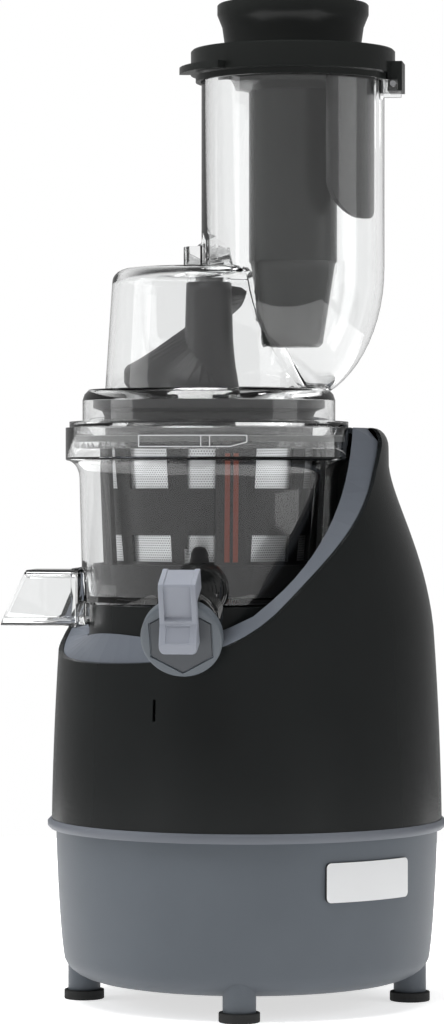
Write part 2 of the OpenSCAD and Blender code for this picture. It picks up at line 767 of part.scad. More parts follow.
module circuit_board() {
    color(board_green) at_body() translate([board_x, 0, plate_top]) {
        translate([-board_t / 2, -board_w / 2, 0]) cube([board_t, board_w, 62]);
        translate([board_t / 2, -22, 30]) cube([8, 16, 14]);
        translate([board_t / 2, 4, 26]) cube([7, 20, 22]);
    }
}

module capacitor() {
    color([0.8, 0.8, 0.78]) at_body() translate([-18, 42, plate_top]) {
        cylinder(r = 14, h = 50);
        for (x = [-4, 4]) translate([x - 0.4, -3, 49]) cube([0.8, 6, 7]);
    }
}

module interlock_switch() {
    color(black) at_drive() rotate([0, 0, 60]) translate([drum_r - 14, -6, drum_z - 3 - 10]) cube([10, 12, 10]);
}

module switch_bezel() {
    color(black) at_rear(switch_turn) difference() {
        union() {
            translate([0, 7, 0]) cube([bezel_w, 16, bezel_h], center = true);
            translate([0, -1.6, 0]) cube([bezel_w + 4, 1.6, bezel_h + 4], center = true);
        }
        cube([bezel_w - 4, 40, bezel_h - 4], center = true);
        translate([0, 2.6, 0]) rotate([0, 90, 0]) cylinder(r = 1.5 + running, h = bezel_w + 10, center = true);
    }
}

rocker_tilt = 9;
module power_rocker() {
    color(rubber) at_rear(switch_turn) translate([0, 2.6, 0]) {
        rotate([rocker_tilt, 0, 0]) rotate([0, 90, 0]) linear_extrude(height = bezel_w - 4.6, center = true) polygon([
            [-9.6, -4], [0, -3], [9.6, -4], [9.6, -1], [3, 3.6], [-3, 3.6], [-9.6, -1]
        ]);
        rotate([0, 90, 0]) cylinder(r = 1.5, h = bezel_w - 0.4, center = true);
    }
}

module cord_inlet() {
    color(black) at_rear(inlet_turn) difference() {
        union() {
            translate([0, 6, 0]) cube([inlet_w, 16, inlet_h], center = true);
            translate([0, -1.6, 0]) cube([inlet_w + 5, 1.6, inlet_h + 5], center = true);
        }
        translate([0, -2, 0]) cube([inlet_w - 4, 26, inlet_h - 4.5], center = true);
    }
}

module inlet_pins() {
    color(steel) at_rear(inlet_turn) for (p = [[-7, -1.5], [0, 2.5], [7, -1.5]])
        translate([p[0], 6.8, p[1]]) cube([2, 8.4, 4.5], center = true);
}

// ---- Bowl set; heights here are above the platform ----

floor_low = 1.5;
floor_top = floor_low + bowl_floor_t;
gear_t = 6;
gear_low = floor_top + gap;
sun_teeth = 15;
idler_teeth = 20;
ring_teeth = sun_teeth + 2 * idler_teeth;
bowl_module = 2;
idler_reach = bowl_module * (sun_teeth + idler_teeth) / 2;
idler_pin_r = 4;
port_x = -28;
port_l = 12;
port_w = 14;
boss_w = chute_w + 4;
bowl_line = concat(
    [[bowl_r - 1, 0], [bowl_r, 1], [bowl_top_r, flare_low]],
    curve([
        [bowl_top_r, flare_low], [bowl_top_r + 0.2, flare_low + flare_h * 0.7],
        [ring_r - 3, ring_low], [ring_r - 0.6, ring_low]
    ], 8, 1),
    [[ring_r, ring_low + 0.6], [ring_r, bowl_h]]
);
bowl_inner = concat(
    [[bowl_r - bowl_wall, floor_top], [bowl_top_r - bowl_wall, flare_low]],
    curve([
        [bowl_top_r - bowl_wall, flare_low], [bowl_top_r - bowl_wall + 0.2, flare_low + flare_h * 0.7],
        [ring_r - 3 - bowl_wall, ring_low + 1.5], [ring_r - bowl_wall, ring_low + 1.8]
    ], 8, 1),
    [[ring_r - bowl_wall, bowl_h]]
);

module at_mouth() {
    at_bowl() translate([0, -spout_reach, spout_mouth_h]) rotate([spout_fall, 0, 0]) children();
}
spout_len = (spout_reach - bowl_r + 10) / cos(spout_fall);
lug_w = lever_w - 5 - 3 * gap;

module chute_section(w, h, r, l) {
    rotate([90, 0, -90]) linear_extrude(height = l) rounded_rect(w, h, r);
}

module bowl() {
    color(clear) difference() {
        union() {
            difference() {
                union() {
                    at_bowl() rotate_extrude() polygon(concat(
                        [[bowl_r - 4, floor_low], [bowl_r - 4, 0]], bowl_line, [[0, bowl_h], [0, floor_low]]
                    ));
                    at_mouth() rotate([-90, 0, 0]) cylinder(r = spout_r, h = spout_len);
                    at_mouth() difference() {
                        translate([-lug_w / 2, 0.5, spout_r - 2]) cube([lug_w, 7, hinge_z - spout_r + 5.5]);
                        translate([0, hinge_y, hinge_z]) rotate([0, 90, 0])
                            cylinder(r = pin_r + running, h = 40, center = true);
                    }
                    at_bowl() translate([-drum_r - 2 * gap, 0, chute_mid_z + 1])
                        chute_section(boss_w, chute_h + 1, 7, chute_flange_x - drum_r - 2 * gap);
                    at_bowl() translate([0, -bowl_r - 1, floor_top + 16]) cylinder(r = 3.6, h = 9);
                }
                at_bowl() rotate_extrude() polygon(concat(bowl_inner, [[0, bowl_h], [0, floor_top]]));
                at_bowl() translate([0, 0, -60]) cylinder(r = drum_r + 2 * gap, h = 60);
                at_bowl() translate([0, 0, -1]) cylinder(r = bowl_r - 4, h = 1 + floor_low);
                difference() {
                    at_mouth() translate([0, -5, 0]) rotate([-90, 0, 0])
                        cylinder(r = spout_r - spout_wall, h = spout_len + 5);
                    at_bowl() translate([0, 0, -60]) cylinder(r = bowl_r - 0.8, h = 60 + floor_top);
                }
            }
            at_bowl() translate([-drum_r + 1, -channel_w / 2, channel_z])
                cube([drum_r - 1 - shaft_r - 6, channel_w, floor_low - channel_z + 1]);
            at_bowl() for (y = [-idler_reach, idler_reach]) translate([0, y, floor_top - 1])
                cylinder(r = idler_pin_r, h = gear_t + 1.4);
        }
        at_bowl() {
            translate([-80, -channel_w / 2 + 2, channel_z + 2]) cube([80 - shaft_r - 8, channel_w - 4, channel_d - 2 + floor_low]);
            translate([port_x - port_l / 2, -port_w / 2, -5]) cube([port_l, port_w, 20]);
            translate([0, 0, -20]) cylinder(r = shaft_r + 3, h = 40);
        }
    }
}

module bowl_seal() {
    color(silicone) at_bowl() tube(shaft_r + 2.98, shaft_r + gap, floor_low, bowl_floor_t);
}

module chute_gasket() {
    color(silicone) at_bowl() translate([-chute_flange_x, 0, chute_mid_z]) difference() {
        chute_section(chute_w + 1, chute_h, 4, 1);
        translate([1, 0, 0]) chute_section(chute_w - 2 * chute_wall, chute_h - 2 * chute_wall, 3, 3);
    }
}

module pulp_chute() {
    color(clear) at_bowl() difference() {
        translate([-chute_flange_x - 1, 0, chute_mid_z]) {
            chute_section(boss_w, chute_h + 2, 4, 2.5);
            chute_section(chute_w, chute_h, 4, chute_len);
        }
        translate([-chute_flange_x, 0, chute_mid_z])
            chute_section(chute_w - 2 * chute_wall, chute_h - 2 * chute_wall, 3, chute_len + 5);
        translate([-chute_tip_x, 0, channel_z - 1]) rotate([90, 0, 0]) linear_extrude(height = 80, center = true)
            polygon([[-20, 0], [0, 0], [chute_slant, chute_h + 3], [-20, chute_h + 3]]);
    }
}

cap_hex_r = cap_r * 0.9;
// Spout cap: a disc with a lever above it, in the frame of the spout's mouth (-Y leaves the spout)
module juice_cap() {
    color(grey) at_mouth() difference() {
        translate([0, -cap_back, 0]) rotate([90, 0, 0]) cylinder(r = cap_r, h = cap_t);
        translate([0, -lever_y + 0.6, 0]) rotate([90, 30, 0]) difference() {
            cylinder(r = cap_hex_r, h = 5, $fn = 6);
            translate([0, 0, -1]) cylinder(r = cap_hex_r - 0.7, h = 7, $fn = 6);
        }
    }
}

module cap_seal() {
    color(silicone) at_mouth() translate([0, -gap, 0]) rotate([90, 0, 0]) difference() {
        cylinder(r = spout_r, h = cap_back - gap);
        translate([0, 0, -1]) cylinder(r = spout_r - 2 * spout_wall, h = cap_back + 2);
    }
}

lever_arm = 2.5;
module cap_lever() {
    color(grey) at_mouth() difference() {
        rotate([90, 0, 90]) linear_extrude(height = lever_w, center = true) polygon(lever_side);
        translate([-lever_w / 2 + lever_arm, -lever_y, cap_r]) cube([lever_w - 2 * lever_arm, 40, 40]);
        translate([-lever_w / 2 + lever_arm, -lever_y - 12, 13.5]) cube([lever_w - 2 * lever_arm, 9.5, 40]);
        translate([0, hinge_y, hinge_z]) rotate([0, 90, 0]) cylinder(r = pin_r + 0.02, h = 60, center = true);
    }
}

module cap_hinge_pin() {
    color(steel) at_mouth() translate([0, hinge_y, hinge_z]) rotate([0, 90, 0])
        cylinder(r = pin_r, h = lever_w - 0.4, center = true);
}

// ---- Strainer, wiper and their gears ----

plate_low = gear_low + gear_t + 1.2;
basket_low = plate_low + 7.5;
basket_high = ring_low + 6;
strainer_top = plate_low + strainer_h;
neck_out = flange_r - 5.9;
hole_r = bowl_module * sun_teeth / 2 + 4;
window_low_h = 13.5;
window_high_h = 19.5;
window_turn = -81;
function basket_r(z) = mix(basket_low_r, basket_top_r, (z - basket_low) / (basket_high - basket_low));
strainer_line = [
    [basket_low_r + 2.7, plate_low], [basket_low_r + 2.7, basket_low - 2], [basket_low_r, basket_low],
    [basket_top_r, basket_high], [basket_top_r, basket_high + 3], [neck_out, basket_high + 6],
    [neck_out, strainer_top - 9], [neck_out + 1.2, strainer_top - 6.5], [flange_r, strainer_top - 4.5],
    [flange_r, strainer_top]
];
strainer_inner = [
    [basket_low_r - basket_wall, plate_low + 2.3], [basket_low_r - basket_wall, basket_low],
    [basket_top_r - basket_wall, basket_high], [basket_top_r - basket_wall, basket_high + 2.4],
    [neck_out - basket_wall, basket_high + 5.4], [neck_out - basket_wall, strainer_top - 4.5],
    [flange_r - 4, strainer_top - 1.5], [flange_r - 4, strainer_top]
];
module strainer_frame() {
    color(dark) at_bowl() difference() {
        union() {
            rotate_extrude() polygon(concat([[hole_r, plate_low]], strainer_line, reversed(strainer_inner),
                [[hole_r, plate_low + 2.3]]));
            translate([port_x - port_l / 2 - 1.5, -port_w / 2 - 1.5, gear_low])
                cube([port_l + 3, port_w + 3, plate_low - gear_low + 1]);
            translate([-port_x, 0, gear_low]) cylinder(r = 4, h = plate_low - gear_low + 1);
        }
        translate([port_x - port_l / 2, -port_w / 2, -5]) cube([port_l, port_w, 40]);
        for (i = [0:window_count - 1]) rotate([0, 0, 360 * i / window_count + window_turn]) {
            width = basket_low_r * 2 * sin(135 / window_count);
            translate([basket_low_r - 8, -width / 2, basket_low + 3]) cube([20, width, window_low_h]);
            translate([basket_low_r - 8, -width / 2, basket_high - 1 - window_high_h])
                cube([20, width, window_high_h]);
        }
    }
}

module strainer_mesh() {
    low = basket_low + 0.5;
    high = basket_high - 0.5;
    inside = basket_wall + 0.1;
    color(steel) at_bowl() rotate_extrude() polygon([
        [basket_r(low) - inside, low], [basket_r(high) - inside, high],
        [basket_r(high) - inside - mesh_t, high], [basket_r(low) - inside - mesh_t, low]
    ]);
}

wiper_r = bowl_module * ring_teeth / 2 + 5.3;
wiper_ring_low = basket_high + 2;
arm_turn = -71.5;
wiper_skirt_h = 16;
blade_low = basket_low + 3;
blade_high = basket_high - 3;
arm_low = basket_low + 1;
arm_high = wiper_ring_low + 1;
function arm_share(z) = (z - arm_low) / (arm_high - arm_low);
function arm_in(z) = mix(basket_r(basket_low) + 4.4, wiper_r - 1.2, arm_share(z));
function arm_out(z) = mix(basket_r(basket_low) + 7, wiper_r + 0.6, arm_share(z));
module at_arm(i) { at_bowl() rotate([0, 0, 360 * i / arm_count + arm_turn]) rotate([90, 0, 0]) children(); }
blade_arms = [0:2:arm_count - 2];
function arm_width(i) = max([for (b = blade_arms) b == i ? arm_w : slim_arm_w]);
module at_blades() { for (i = blade_arms) at_arm(i) children(); }
module wiper_frame() {
    color(dark) difference() {
        union() {
            at_bowl() translate([0, 0, gear_low]) difference() {
                cylinder(r = wiper_r, h = gear_t);
                translate([0, 0, -1]) rotate([0, 0, 90 + 180 / ring_teeth]) linear_extrude(height = gear_t + 2)
                    polygon(gear_points(ring_teeth, bowl_module, -0.3, 1.3 * bowl_module, 0.75 * bowl_module));
            }
            at_bowl() tube(wiper_r, wiper_r - 3.2, gear_low + gear_t - 0.5, wiper_skirt_h - gear_t + 0.5);
            for (i = [0:arm_count - 1]) at_arm(i) linear_extrude(height = arm_width(i), center = true) polygon([
                [wiper_r - 2.4, gear_low + gear_t - 0.5], [wiper_r - 1, gear_low + gear_t - 0.5],
                [arm_out(arm_low), arm_low], [arm_out(arm_high), arm_high],
                [arm_out(arm_high), arm_high + 2], [arm_in(arm_high), arm_high + 2],
                [arm_in(arm_high), arm_high], [arm_in(arm_low), arm_low]
            ]);
            at_bowl() tube(wiper_r + 1.2, wiper_r - 1.8, wiper_ring_low, 6);
        }
        at_blades() translate([basket_top_r - 10, blade_low, -blade_w / 2]) cube([20, blade_high - blade_low, blade_w]);
    }
}

module wiper_blades() {
    low = blade_low + 0.02;
    high = blade_high - 0.02;
    color(silicone) at_blades() linear_extrude(height = blade_w - 0.04, center = true) polygon([
        [basket_r(low) + 0.7, low], [basket_r(high) + 0.7, high], [arm_out(high), high], [arm_out(low), low]
    ]);
}

module idler(y) {
    color([0.9, 0.88, 0.82]) at_bowl() translate([0, y, gear_low]) difference() {
        rotate([0, 0, y > 0 ? 90 + 180 / idler_teeth : 90]) gear(idler_teeth, bowl_module, 0.25, gear_t);
        translate([0, 0, -1]) cylinder(r = idler_pin_r + running, h = gear_t + 2);
    }
}
module idler_front() { idler(-idler_reach); }
module idler_back() { idler(idler_reach); }

// ---- Auger ----

auger_low = gear_low;
auger_top = auger_low + auger_h;
core_low = plate_low + 2.3 + 0.7;
auger_pin_r = 7;
auger_pin_h = 6;
insert_r = shaft_r + 2.6;
sun_root_r = bowl_module * (sun_teeth / 2 - 1.2);
core_line = curve([
    [auger_low_r, core_low], [auger_low_r - 4, core_low + 45],
    [auger_top_r + 2.2, auger_top - 57], [auger_top_r + 0.8, auger_top - 29]
], 12);
function core_r(z) = lookup(z, concat([for (p = core_line) [p[1], p[0]]], [[auger_top, auger_top_r]]));

stem_tip_z = stem_tip_h + floor_top;
function stem_radius(z) =
    z < stem_tip_z + stem_taper_h ? mix(stem_tip_r, stem_r - 1, (z - stem_tip_z) / stem_taper_h) : stem_r;
function free_r(z) = z > stem_tip_z - 1.6 ? tube_shift - stem_radius(max(z, stem_tip_z)) - 0.7 : 100;
// Reach of the flight's edge, by its drop below the auger's top
flight_reach = [
    [0, auger_top_r + 9], [6, auger_top_r + 11], [20, auger_top_r + 13], [36, flight_r - 19],
    [40, flight_r - 12], [45, flight_r - 5], [52, flight_r - 2.8], [70, flight_r],
    [auger_h - 14, basket_low_r - basket_wall - mesh_t - 1.3]
];
function edge_r(z, blunt) = min(free_r(z + blunt + 0.6), lookup(auger_top - z, flight_reach));
function flight_turn(z) = 360 * (auger_top - z) / flight_pitch;

// The flight is thick and blunt where it catches the food under the dome, and thin in the strainer
function catch_zone(drop) = smooth((drop - 12) / 22) * (1 - smooth((drop - 50) / 20));
function flight_section(z, turn) = let (
    a = flight_turn(z) + turn,
    zone = catch_zone(auger_top - z),
    droop = 9 * smooth((auger_top - z - 6) / 30) * (1 - smooth((auger_top - z - 60) / 24)),
    blunt = 1.4 + 4.6 * zone,
    lift = 3 + 9 * zone,
    edge = edge_r(z - droop, blunt),
    root = core_r(min(z + lift, auger_top)) - 2
) [for (p = [
    [root, z + lift], [edge - blunt, z - droop + blunt], [edge, z - droop + 0.5 * blunt],
    [edge, z - droop - 0.5 * blunt], [edge - blunt, z - droop - blunt], [root, z - 3]
]) [p[0] * cos(a), p[0] * sin(a), p[1]]];
module flight(high, low, turn) {
    n = ceil((high - low) / flight_pitch * 36);
    sections = [for (i = [0:n]) flight_section(mix(high, low, i / n), turn)];
    k = 6;
    polyhedron(
        points = [for (s = sections) each s],
        faces = concat(
            [for (j = [1:k - 2]) [0, j, j + 1]],
            [for (j = [1:k - 2]) [k * n, k * n + j + 1, k * n + j]],
            [for (i = [0:n - 1], j = [0:k - 1]) let (
                a = k * i + j, b = k * i + (j + 1) % k, c = b + k, d = a + k
            ) each [[a, c, b], [a, d, c]]]
        )
    );
}

module auger() {
    color(dark) at_bowl() difference() {
        union() {
            translate([0, 0, auger_low]) rotate([0, 0, 90]) gear(sun_teeth, bowl_module, 0.25, gear_t);
            rotate_extrude() polygon(concat(
                [[0, auger_low + 0.5], [sun_root_r, auger_low + 0.5], [sun_root_r, auger_low + gear_t],
                    [hole_r - 4.5, auger_low + gear_t], [hole_r - 4.5, core_low], [auger_low_r, core_low]],
                core_line,
                [[auger_top_r, auger_top], [auger_pin_r, auger_top], [auger_pin_r, auger_top + auger_pin_h],
                    [0, auger_top + auger_pin_h]]
            ));
            flight(auger_top - 4, core_low + 4, 0);
            flight(basket_high + 14, core_low + 4, 180);
        }
        translate([0, 0, auger_low - 1]) cylinder(r = insert_r, h = hex_h + 1.5);
    }
}

module auger_insert() {
    color(steel) at_bowl() translate([0, 0, auger_low]) difference() {
        cylinder(r = insert_r - 0.02, h = hex_h);
        translate([0, 0, -1]) cylinder(r = shaft_r + gap, h = hex_h - 1, $fn = 6);
    }
}

// ---- Hopper, feed tube, lid and pusher ----

hopper_low = bowl_h + gap;
collar_top = hopper_low + collar_h;
dome_top = collar_top + dome_h;
tube_top = dome_top + tube_h;
skirt_r = ring_r - bowl_wall - 1.2;
skirt_wall = 2.8;
skirt_h = 11.5;
seal_r = 1.5;
boss_r = 13.2;
bush_r = 11.4;
bush_cover = 0.8;
module at_tube() { at_bowl() translate([tube_shift, 0, 0]) children(); }
function dome_line(w, t) = concat(
    [[dome_r - w, collar_top - t]],
    corner(dome_top_r - w - 9 + w / 2, dome_top - t - 7 + w / 2, 9 - w / 2, 7 - w / 2, 0, 90, 6)
);
function elbow_line(w) = corner(0, dome_top, tube_r - w, elbow_h - w, -90, 0, 16);
lid_low = tube_top + gap;
hinge_r = tube_r + 5.5;
lid_pin_r = 1.5;
lid_pin_z = lid_low - lip_h - 2.3;

module hopper() {
    color(clear) difference() {
        union() {
            at_bowl() rotate_extrude() polygon(concat(
                [[0, hopper_low - skirt_h], [skirt_r, hopper_low - skirt_h], [skirt_r, hopper_low - 8],
                    [skirt_r - seal_r, hopper_low - 8], [skirt_r - seal_r, hopper_low - 5], [skirt_r, hopper_low - 5],
                    [skirt_r, hopper_low], [ring_r - 2, hopper_low], [ring_r - 2, hopper_low + 2.8],
                    [collar_r, hopper_low + 3.4], [collar_r, collar_top - 5.5], [collar_r - 1, collar_top - 2.5],
                    [collar_r - 3.4, collar_top]],
                dome_line(0, 0), [[0, dome_top]]
            ));
            at_bowl() translate([0, 0, dome_top - 3]) cylinder(r = boss_r, h = 14.2);
            at_bowl() translate([-7, 1.25, dome_top + 11]) rotate([90, 0, 0]) linear_extrude(height = 2.5)
                polygon([[0, 0], [15.5, 0], [15, 11], [13, 11]]);
            at_tube() intersection() {
                rotate_extrude() polygon(concat(elbow_line(0), [[tube_r, tube_top], [0, tube_top]]));
                translate([-100, -100, collar_top - 3]) cube([200, 200, 400]);
            }
            for (y = [-13, 10]) at_tube() difference() {
                translate([tube_r - 2, y, lid_pin_z - 5]) cube([hinge_r - tube_r + 4.4, 3, 7]);
                translate([hinge_r, 0, lid_pin_z]) rotate([90, 0, 0])
                    cylinder(r = lid_pin_r + running, h = 60, center = true);
            }
        }
        at_bowl() rotate_extrude() polygon(concat(
            [[0, 0], [skirt_r - skirt_wall, 0], [skirt_r - skirt_wall, hopper_low - 1], [collar_r - hopper_wall, hopper_low + 2],
                [collar_r - hopper_wall, collar_top - 6], [collar_r - hopper_wall - 3, collar_top - hopper_wall]],
            dome_line(hopper_wall, hopper_wall), [[0, dome_top - hopper_wall]]
        ));
        at_bowl() translate([0, 0, dome_top - 10]) cylinder(r = bush_r + 0.02, h = 10 - bush_cover);
        at_tube() intersection() {
            rotate_extrude() polygon(concat(elbow_line(tube_wall), [[tube_r - tube_wall, tube_top + 1], [0, tube_top + 1]]));
            translate([-100, -100, collar_top - 6]) cube([200, 200, 400]);
        }
    }
}

module top_bush() {
    low = auger_top + gap;
    color(dark) at_bowl() tube(bush_r, auger_pin_r + running, low, dome_top - bush_cover - low);
}

module lid_seal() {
    color([0.8, 0.8, 0.78]) at_bowl() tube(ring_r - bowl_wall - gap, skirt_r - seal_r + 0.02, hopper_low - 7.9, 2.8);
}

lid_top = lid_low + lid_h;
module feed_lid() {
    color(black) at_tube() difference() {
        union() {
            rotate_extrude() polygon([
                [lid_bore_r, lid_low - 5], [lid_bore_r + 2.6, lid_low - 5], [lid_bore_r + 2.6, lid_top - 3],
                [tube_r - 3, lid_top - 3], [tube_r - 3, lid_low], [tube_r + gap, lid_low],
                [tube_r + gap, lid_low - lip_h], [lid_r - 2.5, lid_low - lip_h], [lid_r - 2.5, lid_low],
                [lid_r, lid_low + 0.6], [lid_r, lid_top - 1], [lid_r - 1, lid_top], [lid_bore_r, lid_top]
            ]);
            rotate([0, 0, 190]) rotate_extrude(angle = 46) translate([lid_r - 1, lid_low + 0.6]) square([7, 3.6]);
            translate([hinge_r - 3, -9.7, lid_pin_z - 3.5]) cube([lid_r + 7.5 - hinge_r, 19.4, lid_low + 10 - lid_pin_z]);
        }
        translate([hinge_r, 0, lid_pin_z]) rotate([90, 0, 0]) cylinder(r = lid_pin_r + 0.02, h = 60, center = true);
        tube(tube_r + gap, tube_r - 3, 0, lid_low);
    }
}

module lid_hinge_pin() {
    color(steel) at_tube() translate([hinge_r, 0, lid_pin_z]) rotate([90, 0, 0])
        cylinder(r = lid_pin_r, h = 25.6, center = true);
}

flap_turn = -26;
flap_w = 44;
flap_t = 2.2;
flap_r = lid_bore_r + 6;
module feed_flap() {
    top = lid_top - 3;
    low = lid_low - 3 - flap_h;
    color(dark) at_tube() rotate([0, 0, flap_turn]) intersection() {
        tube(flap_r, flap_r - flap_t, low, top - low);
        translate([0, 0, (top + low) / 2 + 15]) rotate([90, 0, 90]) linear_extrude(height = 100)
            rounded_rect(flap_w, top - low + 30, 20);
    }
}

head_low = lid_top + gap;
head_top = head_low + pusher_head_h;
module pusher() {
    color(black) at_tube() difference() {
        rotate_extrude() polygon([
            [0, stem_tip_z], [stem_tip_r - 2, stem_tip_z], [stem_tip_r, stem_tip_z + 2],
            [stem_r - 1, stem_tip_z + stem_taper_h], [stem_r, stem_tip_z + stem_taper_h + 1],
            [stem_r, lid_low - 8], [pusher_neck_r, lid_low - 5], [pusher_neck_r, head_low + 3],
            [pusher_neck_r + 1.2, head_low + 11.5], [pusher_rim_r, head_low + 18], [pusher_rim_r, head_top - 0.8],
            [pusher_rim_r - 0.8, head_top], [0, head_top]
        ]);
        rotate_extrude() polygon([
            [0, stem_tip_z + 3], [stem_tip_r - 3, stem_tip_z + 3], [stem_r - 3.4, stem_tip_z + stem_taper_h],
            [stem_r - 2.5, lid_low - 6], [pusher_neck_r - 2.5, lid_low - 2], [pusher_neck_r - 2.5, head_top - 4],
            [pusher_rim_r - 3, head_top - 4], [pusher_rim_r - 3, head_top + 1], [0, head_top + 1]
        ]);
    }
}

module pusher_cap() {
    color(black) at_tube() translate([0, 0, head_top - 4]) cylinder(r = pusher_rim_r - 3.1, h = 3.2);
}

base_housing();
bottom_plate();
plate_screws();
rubber_feet();
foot_screws();
band_ring();
upper_shell();
cradle_trim();
bowl_cradle();
drum_base();
nameplate();
motor_can();
motor_stator();
motor_windings();
motor_rotor();
cooling_fan();
motor_pinion();
motor_bearings();
motor_bushes();
gearbox_plate();
gearbox_cover();
lay_gear();
lay_pin();
output_gear();
drive_shaft();
shaft_bearings();
shaft_seal();
circuit_board();
capacitor();
interlock_switch();
switch_bezel();
power_rocker();
cord_inlet();
inlet_pins();
bowl();
bowl_seal();
chute_gasket();
pulp_chute();
juice_cap();
cap_seal();
cap_lever();
cap_hinge_pin();
strainer_frame();
strainer_mesh();
wiper_frame();
wiper_blades();
idler_front();
idler_back();
auger();
auger_insert();
hopper();
top_bush();
lid_seal();
feed_lid();
feed_flap();
lid_hinge_pin();
pusher();
pusher_cap();
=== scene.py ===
# %% [markdown]
# # A cold press juicer in Blender
#
# This lesson dresses the working model of an upright slow juicer: a motor base in satin grey, a gloss
# black shell cut away at the front, a clear bowl with its strainer, wiper and auger, and a clear feed
# tube with a black lid and pusher. The moving model comes first and stays the measure of everything:
# each visible piece rides on one of its bodies, so the scene can be shown in any pose.
#
# The lesson goes from finishes to pieces to light, and each step says what the thing is on the real
# object, how it could be made, and why this way was taken.

# %% Load the working model
import json
import math

import bmesh
import bpy
from mathutils import Matrix, Vector


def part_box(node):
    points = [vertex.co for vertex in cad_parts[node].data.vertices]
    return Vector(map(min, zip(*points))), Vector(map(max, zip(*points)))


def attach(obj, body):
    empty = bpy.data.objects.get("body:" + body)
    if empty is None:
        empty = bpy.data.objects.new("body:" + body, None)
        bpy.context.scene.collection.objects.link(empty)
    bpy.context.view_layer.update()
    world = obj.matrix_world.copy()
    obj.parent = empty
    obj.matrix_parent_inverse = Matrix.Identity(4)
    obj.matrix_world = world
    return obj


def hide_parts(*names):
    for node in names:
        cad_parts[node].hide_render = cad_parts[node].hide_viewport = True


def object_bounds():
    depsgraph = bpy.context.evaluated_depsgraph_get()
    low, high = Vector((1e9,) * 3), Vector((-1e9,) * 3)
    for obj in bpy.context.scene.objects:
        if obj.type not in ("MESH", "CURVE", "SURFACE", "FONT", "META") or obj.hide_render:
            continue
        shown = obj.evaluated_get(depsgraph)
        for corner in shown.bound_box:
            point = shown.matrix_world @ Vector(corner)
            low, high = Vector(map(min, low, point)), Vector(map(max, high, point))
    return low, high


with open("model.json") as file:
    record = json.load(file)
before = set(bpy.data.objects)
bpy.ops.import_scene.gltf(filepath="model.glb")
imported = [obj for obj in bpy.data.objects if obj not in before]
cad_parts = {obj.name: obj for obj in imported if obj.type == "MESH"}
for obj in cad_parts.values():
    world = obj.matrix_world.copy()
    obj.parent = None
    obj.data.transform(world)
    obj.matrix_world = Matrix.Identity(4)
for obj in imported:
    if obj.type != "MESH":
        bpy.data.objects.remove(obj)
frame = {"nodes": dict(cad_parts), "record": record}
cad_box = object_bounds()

# %% [markdown]
# ## Lengths
#
# Blender counts in metres, while household appliances are drawn in millimetres. One small helper keeps
# every size in this lesson readable. The base and the bowl each stand on an axis of their own. Places
# are taken from the boxes of the loaded nodes and from the joint that drives the bowl's works, so the
# new pieces follow the model.

# %% Axes and levels taken from the model
MM = 0.001


def middle(node):
    """The centre of a node's box, in metres."""
    low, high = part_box(node)
    return (Vector(low) + Vector(high)) / 2


bowl_axis = middle("strainer_frame").xy
drive = next(joint for joint in frame["record"]["behaviour"]["joints"] if joint["name"] == "drive_spin")
platform = drive["pos_m"][2]
print("bowl axis", bowl_axis, "platform under the bowl at", round(platform / MM, 1), "mm")

# %% [markdown]
# ## Finishes
#
# A finish on a real appliance is never one flat colour. Moulded plastic has a fine grain that breaks
# up the highlight, gloss plastic collects hairline scratches, and brushed steel is rough across the
# brushing only. All of that can be painted in an image or worked out by nodes. Nodes are used here:
# they have no resolution, they need no unwrapping, and they stay with the piece when it moves, because
# they read Object coordinates.
#
# What is the same all over a surface, such as its specular level, is typed on the shader itself. Only
# what varies comes through nodes.
#
# Two helpers come first. Paint charts give colours as the eye grades them, while a shader counts light,
# so one helper turns the first into the second. The other adds a node and feeds its inputs in one go.

# %% Colours and nodes
def shade(red, green, blue):
    """A colour as a paint chart gives it, 0 to 255, as the linear values that shaders use."""
    def linear(level):
        level /= 255
        return level / 12.92 if level <= 0.04045 else ((level + 0.055) / 1.055) ** 2.4
    return (linear(red), linear(green), linear(blue), 1.0)


def add_node(tree, kind, inputs=None, **settings):
    """Add a node, set what it is and feed its inputs with sockets or plain values."""
    node = tree.nodes.new(kind)
    for name, value in settings.items():
        setattr(node, name, value)
    for name, value in (inputs or {}).items():
        if isinstance(value, bpy.types.NodeSocket):
            tree.links.new(value, node.inputs[name])
        else:
            node.inputs[name].default_value = value
    return node


print("a mid grey of 128 shines with", round(shade(128, 128, 128)[0], 3), "of full light")

# %% [markdown]
# Every finish starts alike: a Principled shader with its plain values, and the Object coordinates that
# its patterns will read.

# %% The start of a finish
def start_finish(name, **plain):
    """A new material with a Principled shader, its plain values typed in, and Object coordinates."""
    finish = bpy.data.materials.new(name)
    finish.use_nodes = True
    tree = finish.node_tree
    shader = tree.nodes["Principled BSDF"]
    for socket, value in plain.items():
        shader.inputs[socket.replace("_", " ")].default_value = value
    place = add_node(tree, "ShaderNodeTexCoord").outputs["Object"]
    return finish, tree, shader, place


print("a finish can be started")

# %% [markdown]
# Almost every pattern here is a noise that is put to one of three uses: it blends two colours, it
# spreads the roughness over a range, or it tilts the surface a little. A noise hardly ever comes near
# 0 or 1, so the helpers stretch the part between two levels that it does use.

# %% Patterns, tints and relief
def noise(tree, place, per_metre, detail=2):
    """A soft cloudy pattern; per_metre says how fine it is."""
    return add_node(tree, "ShaderNodeTexNoise",
                    {"Vector": place, "Scale": per_metre, "Detail": detail}).outputs["Fac"]


noise_low, noise_high = 0.3, 0.7


def between(tree, factor, low, high):
    """Spread a noise, most of which lies between noise_low and noise_high, from low to high."""
    return add_node(tree, "ShaderNodeMapRange",
                    {"Value": factor, "From Min": noise_low, "From Max": noise_high,
                     "To Min": low, "To Max": high}).outputs["Result"]


